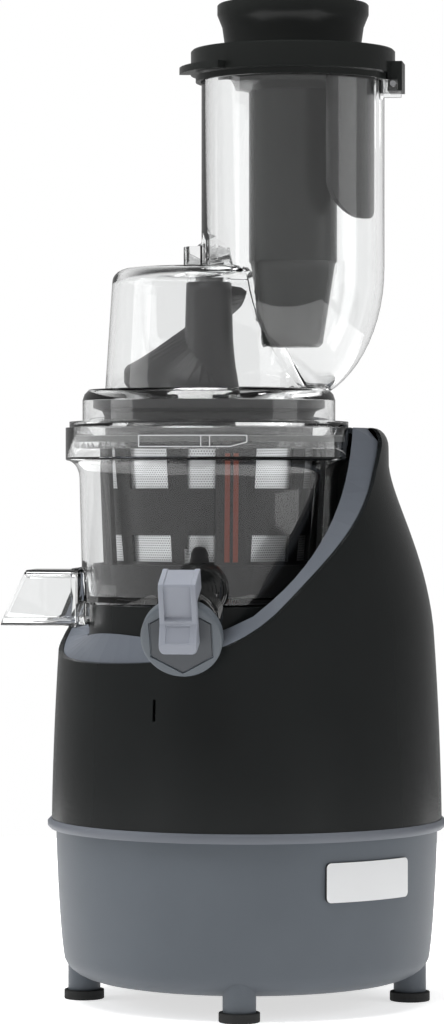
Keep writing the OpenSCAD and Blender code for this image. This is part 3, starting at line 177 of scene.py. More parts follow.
def tint(tree, factor, first, second):
    """Blend two colours by a noise."""
    ramp = add_node(tree, "ShaderNodeValToRGB", {"Fac": factor})
    stops = ramp.color_ramp.elements
    stops[0].position, stops[1].position = noise_low, noise_high
    stops[0].color, stops[1].color = first, second
    return ramp.outputs["Color"]


def relief(tree, shader, height, depth):
    """Let a height pattern, a given depth in metres, tilt the surface."""
    bump = add_node(tree, "ShaderNodeBump", {"Height": height, "Distance": depth})
    tree.links.new(bump.outputs["Normal"], shader.inputs["Normal"])


print("noise is used from", noise_low, "to", noise_high)

# %% [markdown]
# ### Moulded plastic
#
# The grey base, the trim, the cap, the matte black parts and those inside the bowl are injection
# moulded, with a spark-eroded grain of about a third of a millimetre. It shows as a soft, slightly
# broken highlight and as the faintest mottling of the colour. Two noises do it: a wide one for the
# colour and a fine one for roughness and relief. One function makes them all, because on a real machine
# too they come from one kind of tool. What stands behind clear walls gets almost no relief, since
# grain seen through a bent wall would turn into sparkle.

# %% Satin and matte plastics
def moulded(name, first, second, rough=(0.42, 0.52), grain=3000, depth=0.02 * MM, **plain):
    """Plastic with a moulded grain, so many to the metre: colours drift between first and second."""
    finish, tree, shader, place = start_finish(name, **plain)
    wide = noise(tree, place, per_metre=24, detail=3)
    fine = noise(tree, place, per_metre=grain)
    tree.links.new(tint(tree, wide, first, second), shader.inputs["Base Color"])
    tree.links.new(between(tree, fine, *rough), shader.inputs["Roughness"])
    relief(tree, shader, fine, depth)
    return finish


satin_grey = moulded("satin_grey", shade(88, 94, 101), shade(92, 98, 105), Specular_IOR_Level=0.35)
band_grey = moulded("band_grey", shade(106, 110, 117), shade(110, 114, 121), Specular_IOR_Level=0.3)
trim_grey = moulded("trim_grey", shade(97, 102, 110), shade(101, 106, 114), Specular_IOR_Level=0.3)
lever_grey = moulded("lever_grey", shade(148, 152, 162), shade(152, 156, 166), rough=(0.36, 0.44),
                     grain=4000, Specular_IOR_Level=0.35)
# The darker grey of the cap's panel is painted shade, for the shade that the lever casts on it.
panel_painted_shade = moulded("panel_painted_shade", shade(74, 77, 81), shade(78, 81, 85), rough=(0.4, 0.48),
                     grain=4000, Specular_IOR_Level=0.3)
cap_grey = moulded("cap_grey", shade(93, 99, 105), shade(97, 103, 109), rough=(0.36, 0.44),
                   grain=4000, Specular_IOR_Level=0.35)
matte_black = moulded("matte_black", shade(27, 28, 29), shade(30, 31, 32), rough=(0.5, 0.62))
dark_plastic = moulded("dark_plastic", shade(31, 31, 32), shade(34, 34, 35), rough=(0.38, 0.44),
                       grain=2600, depth=0.001 * MM, Specular_IOR_Level=0.3)
auger_black = moulded("auger_black", shade(22, 22, 23), shade(25, 25, 26), rough=(0.44, 0.5),
                      grain=2600, depth=0.001 * MM, Specular_IOR_Level=0.3)
rubber = moulded("rubber", shade(36, 37, 37), shade(41, 41, 41), rough=(0.72, 0.86), grain=1800,
                 depth=0.05 * MM)
acetal = moulded("acetal", shade(214, 210, 196), shade(222, 218, 205), rough=(0.3, 0.38), grain=3200)
print("satin and matte plastics made")

# %% [markdown]
# ### Polished plastic
#
# The shell and the drum are polished black, the lid and the pusher a shade lighter, the ringed root of
# the spout darker and glossier still, and the nameplate is a polished white. Polished plastic keeps a
# long, shallow waviness from the mould and a haze of wiping marks. The marks are a noise squeezed in
# height by a Mapping node, so that they run level, and they only touch the roughness, because a wiping
# mark is far too shallow to see as relief.

# %% Polished plastic
def polished(name, first, second, rough, **plain):
    """Gloss plastic with slight waves and wiping marks."""
    finish, tree, shader, place = start_finish(name, **plain)
    wide = noise(tree, place, per_metre=18)
    wiped = add_node(tree, "ShaderNodeMapping", {"Vector": place, "Scale": (1.0, 1.0, 14.0)}).outputs[0]
    marks = noise(tree, wiped, per_metre=130, detail=6)
    tree.links.new(tint(tree, wide, first, second), shader.inputs["Base Color"])
    tree.links.new(between(tree, marks, *rough), shader.inputs["Roughness"])
    waves = noise(tree, place, per_metre=45, detail=1)
    relief(tree, shader, waves, depth=0.012 * MM)
    return finish


gloss_black = polished("gloss_black", shade(27, 29, 29), shade(30, 32, 32), rough=(0.19, 0.26),
                       Specular_IOR_Level=0.24)
ring_black = polished("ring_black", shade(20, 21, 21), shade(23, 24, 24), rough=(0.05, 0.09),
                      Specular_IOR_Level=0.9)
lid_black = polished("lid_black", shade(34, 36, 35), shade(37, 39, 38), rough=(0.2, 0.26),
                     Specular_IOR_Level=0.22)
plate_white = polished("plate_white", shade(226, 227, 228), shade(231, 232, 233), rough=(0.2, 0.27))
print("polished plastics made")

# %% [markdown]
# ### Silicone
#
# The wiper's blades and the bowl's seal are orange-red silicone rubber, the lid's seal a smoky grey
# one. It is soft to the light as well: a little light enters and comes back out. Subsurface scattering
# gives that glow, and a dusty roughness keeps it from looking like paint. Red travels furthest in the
# orange rubber, which warms its thin edges.

# %% Silicone in orange red and in smoky grey
def silicone(name, first, second, glow):
    """Soft rubber; glow is how far red, green and blue travel in it, one against the other."""
    finish, tree, shader, place = start_finish(name, Subsurface_Weight=0.25, Subsurface_Radius=glow,
                                               Subsurface_Scale=1.5 * MM)
    wide = noise(tree, place, per_metre=60, detail=3)
    fine = noise(tree, place, per_metre=1500)
    tree.links.new(tint(tree, wide, first, second), shader.inputs["Base Color"])
    tree.links.new(between(tree, fine, 0.45, 0.58), shader.inputs["Roughness"])
    relief(tree, shader, fine, depth=0.03 * MM)
    return finish


silicone_red = silicone("silicone_red", shade(108, 42, 22), shade(120, 48, 25), (1.0, 0.3, 0.15))
silicone_pale = silicone("silicone_pale", shade(92, 93, 92), shade(99, 100, 99), (1.0, 0.95, 0.9))
print("silicones made")

# %% [markdown]
# ### Metals
#
# Turned, rolled and cast metal differ in where they are rough. Turning leaves level rings, so the noise
# is squeezed in height, while casting leaves an even pebbled skin. Metallic is 1 on all of them, and the
# colour is the colour of the reflection.

# %% Steel, copper and cast alloy
def metal(name, first, second, rough, stretch=(1.0, 1.0, 1.0), grain=900, depth=0.01 * MM):
    """Bare metal whose tool marks are a noise, stretched or squeezed along the axes."""
    finish, tree, shader, place = start_finish(name, Metallic=1.0)
    along = add_node(tree, "ShaderNodeMapping", {"Vector": place, "Scale": stretch}).outputs[0]
    fine = noise(tree, along, per_metre=grain, detail=4)
    tree.links.new(tint(tree, fine, first, second), shader.inputs["Base Color"])
    tree.links.new(between(tree, fine, *rough), shader.inputs["Roughness"])
    relief(tree, shader, fine, depth)
    return finish


turned, rolled, wound = (1, 1, 25), (1, 1, 12), (1, 1, 40)
steel = metal("steel", shade(176, 178, 180), shade(196, 198, 200), (0.26, 0.4), turned)
bright_steel = metal("bright_steel", shade(208, 210, 212), shade(220, 222, 224), (0.1, 0.18), turned)
can_steel = metal("can_steel", shade(150, 153, 156), shade(166, 169, 172), (0.34, 0.5), rolled)
copper = metal("copper", shade(196, 112, 66), shade(214, 128, 78), (0.24, 0.36), wound, grain=500,
               depth=0.05 * MM)
cast_alloy = metal("cast_alloy", shade(158, 160, 162), shade(178, 180, 182), (0.4, 0.55), grain=1200,
                   depth=0.06 * MM)
print("metals made")

# %% [markdown]
# ### Perforated sheet
#
# The strainer's windows are closed by etched steel sheet with staggered holes well under a millimetre
# wide. Thousands of holes could be cut as geometry, but each would need dozens of faces for something
# that is smaller than a grain of sugar. The pattern is worked out by arithmetic instead, for which a
# node tree has a Math node. A helper keeps the steps short.

# %% Arithmetic in a node tree
def maths(tree, operation, first, second=0.0):
    """One step of arithmetic on sockets or numbers."""
    node = tree.nodes.new("ShaderNodeMath")
    node.operation = operation
    for socket, value in zip(node.inputs, (first, second)):
        if isinstance(value, bpy.types.NodeSocket):
            tree.links.new(value, socket)
        else:
            socket.default_value = value
    return node.outputs[0]


print("arithmetic ready")

# %% [markdown]
# The sheet is rolled round the bowl's axis, so the angle round that axis times the radius runs along the
# sheet, the height runs up it, and every other row is shifted by half a step. Each point is then
# measured from the middle of its own hole. Inside a hole the metal turns dark and dull, and the relief
# dips. The sheet is set to be metal in part only, so that it stays pale in a bowl where it has little
# to mirror.

# %% Etched strainer sheet
def perforated(name, axis, radius, step, hole):
    """Steel sheet rolled round a standing axis, with holes step apart and hole wide."""
    finish, tree, shader, place = start_finish(name, Metallic=0.6)
    centred = add_node(tree, "ShaderNodeMapping",
                       {"Vector": place, "Location": (-axis[0], -axis[1], 0)}).outputs[0]
    parts = add_node(tree, "ShaderNodeSeparateXYZ", {"Vector": centred})
    turn = maths(tree, "ARCTAN2", parts.outputs["Y"], parts.outputs["X"])
    across = maths(tree, "MULTIPLY", turn, radius / step)
    row_height = math.sqrt(3) / 2
    row = maths(tree, "DIVIDE", parts.outputs["Z"], step * row_height)
    whole = maths(tree, "FLOOR", row)
    shift = maths(tree, "MULTIPLY", maths(tree, "FLOORED_MODULO", whole, 2.0), 0.5)
    side = maths(tree, "SUBTRACT", maths(tree, "FRACT", maths(tree, "ADD", across, shift)), 0.5)
    rise = maths(tree, "SUBTRACT", maths(tree, "FRACT", row), 0.5)
    rise = maths(tree, "MULTIPLY", rise, row_height)
    squares = maths(tree, "ADD", maths(tree, "POWER", side, 2.0), maths(tree, "POWER", rise, 2.0))
    away = maths(tree, "SQRT", squares)
    inner, outer = 0.42, 0.58
    hole_edge = {"From Min": inner * hole / step, "From Max": outer * hole / step}
    sheet = add_node(tree, "ShaderNodeMapRange", {"Value": away, **hole_edge}).outputs["Result"]
    ramp = add_node(tree, "ShaderNodeValToRGB", {"Fac": sheet})
    ramp.color_ramp.elements[0].color = shade(70, 70, 72)
    ramp.color_ramp.elements[1].color = shade(226, 227, 229)
    tree.links.new(ramp.outputs["Color"], shader.inputs["Base Color"])
    tree.links.new(between(tree, sheet, 0.7, 0.3), shader.inputs["Roughness"])
    relief(tree, shader, sheet, depth=0.1 * MM)
    return finish


hole_step = 1.4 * MM
hole_width = 0.63 * MM
mesh_low, mesh_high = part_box("strainer_mesh")
mesh_radius = (mesh_high[0] - mesh_low[0]) / 2
mesh_steel = perforated("mesh_steel", bowl_axis, mesh_radius, hole_step, hole_width)
print("strainer sheet: a hole of", hole_width / MM, "mm every", hole_step / MM, "mm")

# %% [markdown]
# ### Clear plastic
#
# The bowl, the hopper and the pulp chute are clear copolyester with walls of two to three and a half
# millimetres. A real wall of real thickness is in the mesh, so refraction does most of the work: the
# edges darken where the light has to travel along the wall. A thin tint, which drifts ever so slightly
# over the piece, takes some seven per cent at each surface.
#
# Lamps can't shine through refracting walls in a path tracer without a great deal of noise. The usual
# answer is used: for shadow rays, and only for them, the wall is a plain transparent surface.

# %% Clear copolyester
def clear(name, colour, through):
    """Refracting plastic; through is what it lets pass for the lamps."""
    finish, tree, shader, place = start_finish(name, Transmission_Weight=1.0, IOR=1.49, Roughness=0.02)
    drift = 0.994
    darker = tuple(drift * part for part in colour[:3]) + (1.0,)
    faint = noise(tree, place, per_metre=40)
    tree.links.new(tint(tree, faint, colour, darker), shader.inputs["Base Color"])
    lamps = add_node(tree, "ShaderNodeBsdfTransparent", {"Color": through})
    ray = add_node(tree, "ShaderNodeLightPath")
    both = add_node(tree, "ShaderNodeMixShader", {"Fac": ray.outputs["Is Shadow Ray"]})
    tree.links.new(shader.outputs["BSDF"], both.inputs[1])
    tree.links.new(lamps.outputs["BSDF"], both.inputs[2])
    tree.links.new(both.outputs["Shader"], tree.nodes["Material Output"].inputs["Surface"])
    return finish


clear_plastic = clear("clear_plastic", (0.925, 0.93, 0.93, 1.0), (0.93, 0.93, 0.93, 1.0))
print("clear plastic made")

# %% [markdown]
# ### Circuit board
#
# The control board sits out of sight in the base, but it gets its own finish all the same: green
# solder mask over copper tracks. The tracks are a brick pattern drawn so thin that only its lines
# show, a cheap and convincing stand-in for a layout.

# %% Solder mask over tracks
def board_finish():
    """Green lacquer with a thin coat of gloss, over a grid of tracks."""
    finish, tree, shader, place = start_finish("board_green", Coat_Weight=0.4)
    tracks = add_node(tree, "ShaderNodeTexBrick",
                      {"Vector": place, "Scale": 160.0, "Mortar Size": 0.03, "Mortar Smooth": 0.2,
                       "Color1": shade(22, 74, 44), "Color2": shade(26, 82, 50),
                       "Mortar": shade(96, 128, 60)})
    tree.links.new(tracks.outputs["Color"], shader.inputs["Base Color"])
    fine = noise(tree, place, per_metre=700)
    tree.links.new(between(tree, fine, 0.3, 0.42), shader.inputs["Roughness"])
    relief(tree, shader, tracks.outputs["Fac"], depth=0.04 * MM)
    return finish


board_green = board_finish()
print("board finish made")

# %% [markdown]
# ## Dress every node
#
# The record of the model says which material slot each node belongs to, and each slot has a finish of
# its own. A few nodes share a slot with others but look different on the real machine, so a second list
# gives them theirs. The loops below put the finish on the node's own object; the nodes whose shape asks
# for more care are replaced by new pieces further on.

# %% A finish for each slot and some for single nodes
finishes = {
    "housing": satin_grey, "black_gloss": gloss_black, "trim_grey": trim_grey,
    "black_matte": matte_black, "foot_rubber": rubber, "silicone_red": silicone_red,
    "silicone_pale": silicone_pale, "steel": steel, "bright_steel": bright_steel,
    "mesh_steel": mesh_steel, "can_steel": can_steel, "copper": copper, "cast_alloy": cast_alloy,
    "gear_plastic": acetal, "board": board_green, "plate_white": plate_white,
    "clear_plastic": clear_plastic, "dark_plastic": dark_plastic, "cap_grey": cap_grey,
}
slot_of = {part["node"]: part["material_slot"] for part in frame["record"]["subparts"]}
for node, slot in slot_of.items():
    mesh = frame["nodes"][node].data
    mesh.materials.clear()
    mesh.materials.append(finishes[slot])
own_finish = {
    "cap_seal": rubber, "chute_gasket": clear_plastic, "feed_lid": lid_black, "pusher": lid_black,
    "pusher_cap": lid_black, "band_ring": band_grey, "auger": auger_black, "cap_hinge_pin": lever_grey,
}
for node, finish in own_finish.items():
    frame["nodes"][node].data.materials[0] = finish
print("dressed", len(slot_of), "nodes,", len(own_finish), "of them with a finish of their own")

# %% [markdown]
# ## Making pieces
#
# Every new piece goes through the same three steps. It is drawn with bmesh operators, in metres and in
# its place on the object, so that the object itself stays at the origin. Then its normals are turned
# outward, edges above a given angle are kept sharp and the rest is shaded smooth. Last it is told which
# body it rides on and, if there is one, which node of the working model it stands for.

# %% From a bmesh to a piece that rides on a body
def make_piece(name, shape, finish, body, stands_for=(), sharp=35):
    """Turn a bmesh into a piece that rides on a body and stands for nodes; sharp is in degrees."""
    bmesh.ops.recalc_face_normals(shape, faces=shape.faces)
    for face in shape.faces:
        face.smooth = True
    mesh = bpy.data.meshes.new(name)
    shape.to_mesh(mesh)
    shape.free()
    mesh.set_sharp_from_angle(angle=math.radians(sharp))
    mesh.materials.append(finish)
    piece = bpy.data.objects.new(name, mesh)
    bpy.context.scene.collection.objects.link(piece)
    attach(piece, body)
    if stands_for:
        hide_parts(*stands_for)
    return piece


print("pieces can be made")

# %% [markdown]
# A node whose shape is already right only needs softer edges. Its mesh is copied, equal points are
# merged, and a narrow Bevel modifier breaks every edge above a given angle, because no moulding tool
# leaves a knife edge and a broken edge is what catches the light.

# %% Softened copies of nodes
same_place = 0.001 * MM


def soften(piece, width, segments=2, angle=40):
    """Break the edges above an angle in degrees; width in millimetres."""
    bevel = piece.modifiers.new("edges", "BEVEL")
    bevel.width = width * MM
    bevel.segments = segments
    bevel.limit_method = "ANGLE"
    bevel.angle_limit = math.radians(angle)
    bevel.profile = 0.5
    bevel.material = -1
    return piece


def polish(node, finish, body, width=0.0, sharp=35):
    """A softened copy of a node, standing for it."""
    shape = bmesh.new()
    shape.from_mesh(frame["nodes"][node].data)
    bmesh.ops.remove_doubles(shape, verts=shape.verts, dist=2 * same_place)
    piece = make_piece(node + "_soft", shape, finish, body, (node,), sharp)
    if width:
        soften(piece, width)
    return piece


print("points closer than", same_place / MM, "mm count as one")

# %% [markdown]
# New shapes are made in two ways. A shape that changes along its length is skinned over a row of closed
# rings of points. A shape that is round about an upright axis is turned by spinning its outline.

# %% Skinned and turned shapes
def loft(shape, sections, closed=True):
    """Skin rings of points, each as long as the last; a closed loft gets a face at both ends."""
    rings = [[shape.verts.new(point) for point in ring] for ring in sections]
    for lower, upper in zip(rings, rings[1:]):
        for step in range(len(lower)):
            after = (step + 1) % len(lower)
            shape.faces.new((lower[step], lower[after], upper[after], upper[step]))
    if closed:
        shape.faces.new(reversed(rings[0]))
        shape.faces.new(rings[-1])


def turn_profile(profile, axis, steps):
    """A bmesh turned once round a standing axis; the profile lists radius and height in millimetres."""
    shape = bmesh.new()
    points = [shape.verts.new((axis[0] + radius * MM, axis[1], height * MM)) for radius, height in profile]
    edges = [shape.edges.new(pair) for pair in zip(points, points[1:] + points[:1])]
    bmesh.ops.spin(shape, geom=points + edges, cent=(axis[0], axis[1], 0), axis=(0, 0, 1),
                   angle=2 * math.pi, steps=steps, use_merge=True)
    bmesh.ops.remove_doubles(shape, verts=shape.verts, dist=same_place)
    return shape


print("shapes can be skinned and turned")

# %% [markdown]
# ## The juice cap
#
# The spout is closed by a round cap on a lever. Both are drawn in the frame of the spout's mouth: its
# origin is the middle of the mouth, its first axis runs across, its second back into the spout, so
# that a negative depth stands out in front, and its third up. It leans by the fall of the spout, and a
# matrix takes drawn points to their place.
#
# The cap's face has a hexagonal panel set off by a narrow groove. The panel is a darker grey, which is
# painted shade: it stands for the shade that the lever casts over the panel. Its rings all have the same
# number of points, round ones and hexagonal ones, so they can be skinned one after the other. The skin
# makes its faces in order, which tells the panel's faces from the others.

# %% The cap with its hexagonal panel
mouth_reach = 97 * MM
mouth_drop = 11.6 * MM
spout_fall = math.radians(23)
mouth = (Matrix.Translation((bowl_axis[0], bowl_axis[1] - mouth_reach, platform - mouth_drop))
         @ Matrix.Rotation(spout_fall, 4, "X") @ Matrix.Scale(MM, 4))
cap_points = 96


def round_ring(radius, depth, count=cap_points):
    """A ring of points about the spout's axis, radius and depth in millimetres."""
    return [mouth @ Vector((radius * math.cos(turn), depth, radius * math.sin(turn)))
            for turn in (2 * math.pi * step / count for step in range(count))]


def hexagon_ring(radius, depth, count=cap_points):
    """A ring of points on a hexagon that stands on a corner; radius is that of its corners."""
    ring = []
    for step in range(count):
        turn = 2 * math.pi * step / count
        off = (turn - math.pi / 6) % (math.pi / 3) - math.pi / 6
        reach = radius * math.cos(math.pi / 6) / math.cos(off)
        ring.append(mouth @ Vector((reach * math.cos(turn), depth, reach * math.sin(turn))))
    return ring


rim_rings = [round_ring(20.0, -2.02), round_ring(20.45, -2.5), round_ring(20.45, -7.3),
             round_ring(20.2, -8.2), round_ring(19.6, -8.75), round_ring(18.9, -8.95),
             hexagon_ring(18.4, -8.97)]
groove_rings = [hexagon_ring(18.2, -8.75), hexagon_ring(18.1, -8.0), hexagon_ring(17.6, -8.0)]
panel_rings = [hexagon_ring(17.45, -8.5), hexagon_ring(17.2, -8.72), hexagon_ring(8.0, -8.72)]
cap = bmesh.new()
cap_rings = rim_rings + groove_rings + panel_rings
loft(cap, cap_rings)
cap.faces.ensure_lookup_table()
panel_start = cap_points * (len(rim_rings) + len(groove_rings))
back_face = cap_points * (len(cap_rings) - 1)
# The panel's faces take the second finish, the painted shade of the lever.
for face in cap.faces[panel_start:]:
    face.material_index = 1
cap.faces[back_face].material_index = 0
cap_disc = make_piece("cap_disc", cap, cap_grey, "cap", ("juice_cap",), sharp=28)
# The second finish darkens the panel as painted shade from the lever above it.
cap_disc.data.materials.append(panel_painted_shade)
print("cap drawn with", len(cap_rings), "rings")

# %% [markdown]
# ### The lever
#
# The lever turns on a cross pin above the cap. It has a channel between two rims, a bridge over the
# hinge and a framed pad for the thumb. Its side view changes only between the rims and the middle, so
# it is skinned across: the rim's side view twice, the middle's twice, the rim's twice. Each side view
# lists points of depth and height. Where both views share a point the skin between them has no height,
# and those empty faces are dissolved.

# %% The lever with its channel
rim_view = [(7, 31.8), (7, 21.2), (-9, 21.2), (-9, -1), (-13, -2.4), (-20, -2.4), (-21.1, -1.5),
            (-21.2, 3.5), (-14.5, 11.5), (-14.4, 13), (-14.4, 14), (-13.4, 29.6), (-12, 31.8), (-9, 32.1)]
middle_view = [(6.4, 30.8), (-9.2, 30.2)] + rim_view[2:9] + [
    (-14.4, 13), (-12, 14), (-11.7, 30.2), (-11.0, 31.3), (6.4, 31.5)]
lever_width = 18.7
half = lever_width / 2
rim = 2.6
stations = [(-half, rim_view), (rim - half, rim_view), (rim - half, middle_view),
            (half - rim, middle_view), (half - rim, rim_view), (half, rim_view)]
lever = bmesh.new()
loft(lever, [[mouth @ Vector((across, depth, up)) for depth, up in view] for across, view in stations])
bmesh.ops.remove_doubles(lever, verts=lever.verts, dist=same_place)
bmesh.ops.dissolve_degenerate(lever, edges=lever.edges, dist=same_place)
bmesh.ops.recalc_face_normals(lever, faces=lever.faces)
print("lever skinned over", len(stations), "side views")

# %% [markdown]
# The thumb pad is found as the face nearest to its middle. Its frame is two insets, the second one
# pushed inwards. The chin, below the level of the mouth, gets a wide round along both flanks, and a
# narrow bevel breaks all other edges.

# %% The lever's pad and chin
pad_middle = mouth @ Vector((0, -17.85, 7.5))
pad = min(lever.faces, key=lambda face: (face.calc_center_median() - pad_middle).length)
pad_frame, pad_wall, pad_depth = 0.9 * MM, 0.25 * MM, 0.8 * MM
bmesh.ops.inset_region(lever, faces=[pad], thickness=pad_frame)
bmesh.ops.inset_region(lever, faces=[pad], thickness=pad_wall, depth=-pad_depth)
to_mouth = mouth.inverted()
chin_top, chin_round, on_flank = -1.2, 2.4 * MM, 0.01
chin = [edge for edge in lever.edges
        if all(abs(abs((to_mouth @ point.co).x) - half) < on_flank
               and (to_mouth @ point.co).z < chin_top for point in edge.verts)]
bmesh.ops.bevel(lever, geom=chin, offset=chin_round, affect="EDGES", segments=4, profile=0.5,
                material=-1)
lever_piece = make_piece("cap_lever_soft", lever, lever_grey, "cap", ("cap_lever",), sharp=30)
soften(lever_piece, 0.45, segments=3, angle=30)
print("chin edges rounded:", len(chin))

# %% [markdown]
# ### The plug and the button
#
# Behind the cap a tapered plug of dark rubber reaches into the spout, which makes the clear spout look
# dark from outside. Above the root of the spout stands a small round-topped dark button. The plug is
# skinned about the spout's axis like the cap, the button is turned about an upright axis of its own,
# and its outline gives radii with heights above the table.

# %% The plug in the spout and the button above it
turned_points = 48
plug_outline = [(11.6, -1.9), (11.6, 1.2), (11.0, 2.2), (8.6, 7.2), (7.6, 8.2), (2.0, 8.6)]
plug = bmesh.new()
loft(plug, [round_ring(radius, depth, turned_points) for radius, depth in plug_outline])
make_piece("cap_plug", plug, rubber, "cap")

root_side = 4.2 * MM
button_reach = 68 * MM
button_axis = (bowl_axis[0] + root_side, bowl_axis[1] - button_reach)
button_outline = [(0, 226), (5.6, 226), (5.2, 230), (4.6, 233.4), (4.3, 236), (3.4, 238), (2, 239.2),
                  (0, 239.6)]
button = turn_profile(button_outline, button_axis, turned_points)
make_piece("spout_button", button, dark_plastic, "bowl_set")
print("plug and button drawn")

# %% [markdown]
# ### The root of the spout
#
# The spout's root is covered by a dark, ringed dome, where the spout is welded to the bowl, and a
# gripping collar with fine rings follows it down the spout. Both are turned shapes. The collar is
# turned about the spout's own axis, and each of its rings is a little wider than the one before it.

# %% The ringed collar
def round_tube(name, outline, finish, body, place=None):
    """Turn a closed outline of radius and depth round the spout's axis, or round one moved to place."""
    shape = bmesh.new()
    around = 72
    loft(shape, [round_ring(radius, depth, around) for radius, depth in outline + outline[:1]],
         closed=False)
    if place:
        bmesh.ops.transform(shape, matrix=place @ mouth.inverted(), verts=shape.verts)
    bmesh.ops.remove_doubles(shape, verts=shape.verts, dist=same_place)
    return make_piece(name, shape, finish, body, sharp=30)


collar_rings, collar_step, collar_flare = 5, 1.7, 0.25
collar_bore, collar_front, collar_back = 13.4, 17.5, 25.9
ring_profile = [(15.6, 0.0), (16.1, 0.5), (16.1, 1.1), (15.6, 1.6)]
collar_outline = [(collar_bore, collar_front)]
for ring in range(collar_rings):
    collar_outline += [(radius + collar_flare * ring, collar_front + collar_step * ring + depth)
                       for radius, depth in ring_profile]
collar_outline.append((collar_bore, collar_back))
round_tube("spout_collar", collar_outline, ring_black, "bowl_set")
print("collar rings:", collar_rings)

# %% [markdown]
# The dome is turned about a level axis that runs out from the bowl. Its outline follows a quarter of
# an oval and steps back a third of a millimetre between one ring and the next. It starts and ends a
# hair from the axis, which leaves no folded faces at the pole.

# %% The ringed dome
ring_from, ring_to = 0.15, 0.75
dome_radius, dome_depth, dome_pole = 14.8, 17.0, 0.02
root_reach, root_rise = 66.2 * MM, 9 * MM
root_place = Vector((bowl_axis[0] + root_side, bowl_axis[1] - root_reach, platform + root_rise))
root_dome = Matrix.Translation(root_place) @ Matrix.Scale(MM, 4)
dome_rings, first_ring, ring_angle, flank, groove_depth = 9, 8, 8.4, 0.02, 0.35
dome_outline = [(dome_pole, 0), (dome_radius, 0)]
for ring in range(dome_rings):
    low, high = (math.radians(first_ring + ring_angle * (ring + share)) for share in (ring_from, ring_to))
    for angle, sunk in ((low, groove_depth), (low + flank, 0), (high - flank, 0), (high, groove_depth)):
        dome_outline.append(((dome_radius - sunk) * math.cos(angle),
                             -(dome_depth - sunk) * math.sin(angle)))
dome_outline.append((dome_pole, -dome_depth))
round_tube("spout_dome", dome_outline, ring_black, "bowl_set", root_dome)
print("dome rings:", dome_rings)

# %% [markdown]
# ## Softened mouldings
#
# The large mouldings already have their true shape in the model. They are copied with broken edges: a
# third to half a millimetre wide on the visible plastic, less on thin clear walls, where a wider one
# would eat the lip. Where the width is nought the copy is only shaded smooth: the band is rounded
# already, and the auger's flights blend into its cone, so fewer of the auger's edges are kept sharp.

# %% Copies with broken edges
body_of = {node: body for body, nodes in frame["record"]["behaviour"]["bodies"].items() for node in nodes}
edge_widths = {
    "base_housing": 0.4, "upper_shell": 0.4, "band_ring": 0.0, "cradle_trim": 0.3, "bowl_cradle": 0.3,
    "drum_base": 0.4, "feed_lid": 0.5, "pusher": 0.4, "pusher_cap": 0.3, "feed_flap": 0.4,
    "pulp_chute": 0.25, "bowl": 0.25, "hopper": 0.25, "strainer_frame": 0.25, "wiper_frame": 0.25,
    "auger": 0.0, "rubber_feet": 0.5, "power_rocker": 0.3, "switch_bezel": 0.3, "cord_inlet": 0.3,
    "cap_hinge_pin": 0.2,
}
sharp_above = {"auger": 50}
for node, width in edge_widths.items():
    finish = own_finish.get(node, finishes[slot_of[node]])
    polish(node, finish, body_of[node], width, sharp_above.get(node, 35))
print("softened", len(edge_widths), "nodes")

# %% [markdown]
# ### The nameplate
#
# The nameplate's face is white and its rim dark, so its copy has two finishes: every face that doesn't
# look the way the plate looks, outwards from the middle of the base, belongs to the rim.

# %% A dark rim round the nameplate
plate_copy = polish("nameplate", plate_white, body_of["nameplate"], 0.2)
plate_copy.data.materials.append(matte_black)
plate_way = Vector((*middle("nameplate").xy, 0)).normalized()
facing = 0.75
for face in plate_copy.data.polygons:
    face.material_index = 0 if face.normal.dot(plate_way) > facing else 1
print("nameplate rim faces:", sum(face.material_index for face in plate_copy.data.polygons))

# %% [markdown]
# ### The blade holders
#
# Each blade of the wiper is held by a narrow dark strip that is moulded over its middle, so that only
# its two edges show red. The blade leans, so the script measures how far it reaches out at its foot and
# at its head, and skins the strip between the two.

# %% Strips over the blades
strip_outline = [(-0.3, -1.0), (0.3, -0.7), (0.3, 0.7), (-0.3, 1.0)]
blade_turns = (-71.5, 72.5)
blade_half, blade_end = 4, 1
blade_low, blade_high = (corner[2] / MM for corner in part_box("wiper_blades"))
strip = bmesh.new()
for turn in blade_turns:
    place = (Matrix.Translation((bowl_axis[0], bowl_axis[1], 0))
             @ Matrix.Rotation(math.radians(turn), 4, "Z") @ Matrix.Scale(MM, 4))
    points = [place.inverted() @ point.co for point in frame["nodes"]["wiper_blades"].data.vertices]
    points = [point for point in points if abs(point.y) < blade_half]
    foot = max(point.x for point in points if point.z < blade_low + blade_end)
    head = max(point.x for point in points if point.z > blade_high - blade_end)
    loft(strip, [[place @ Vector((reach + out, side, height)) for out, side in strip_outline]
                 for reach, height in ((foot, blade_low), (head, blade_high))])
make_piece("blade_strips", strip, dark_plastic, "wiper")
print("blade strips from", round(blade_low, 1), "to", round(blade_high, 1), "mm")

# %% [markdown]
# ## The guide on the bowl's ring
#
# Outside, the bowl's ring carries a low rib that outlines the path of the bayonet, with a slanted run-in
# at its end and two short stops. On clear plastic such a rib shows only by the light that its edges
# catch, so here it is thin and painted white: the white is a painted highlight. It is drawn as straight
# runs on the unrolled ring and wound round it.

# %% A rib painted white as a highlight, wound round the ring
ring_foot = 285 * MM
ring_radius = max((point.co.xy - bowl_axis).length for point in frame["nodes"]["bowl"].data.vertices
                  if point.co.z > ring_foot)
rib_width = 0.45 * MM
rib_proud = 0.35 * MM


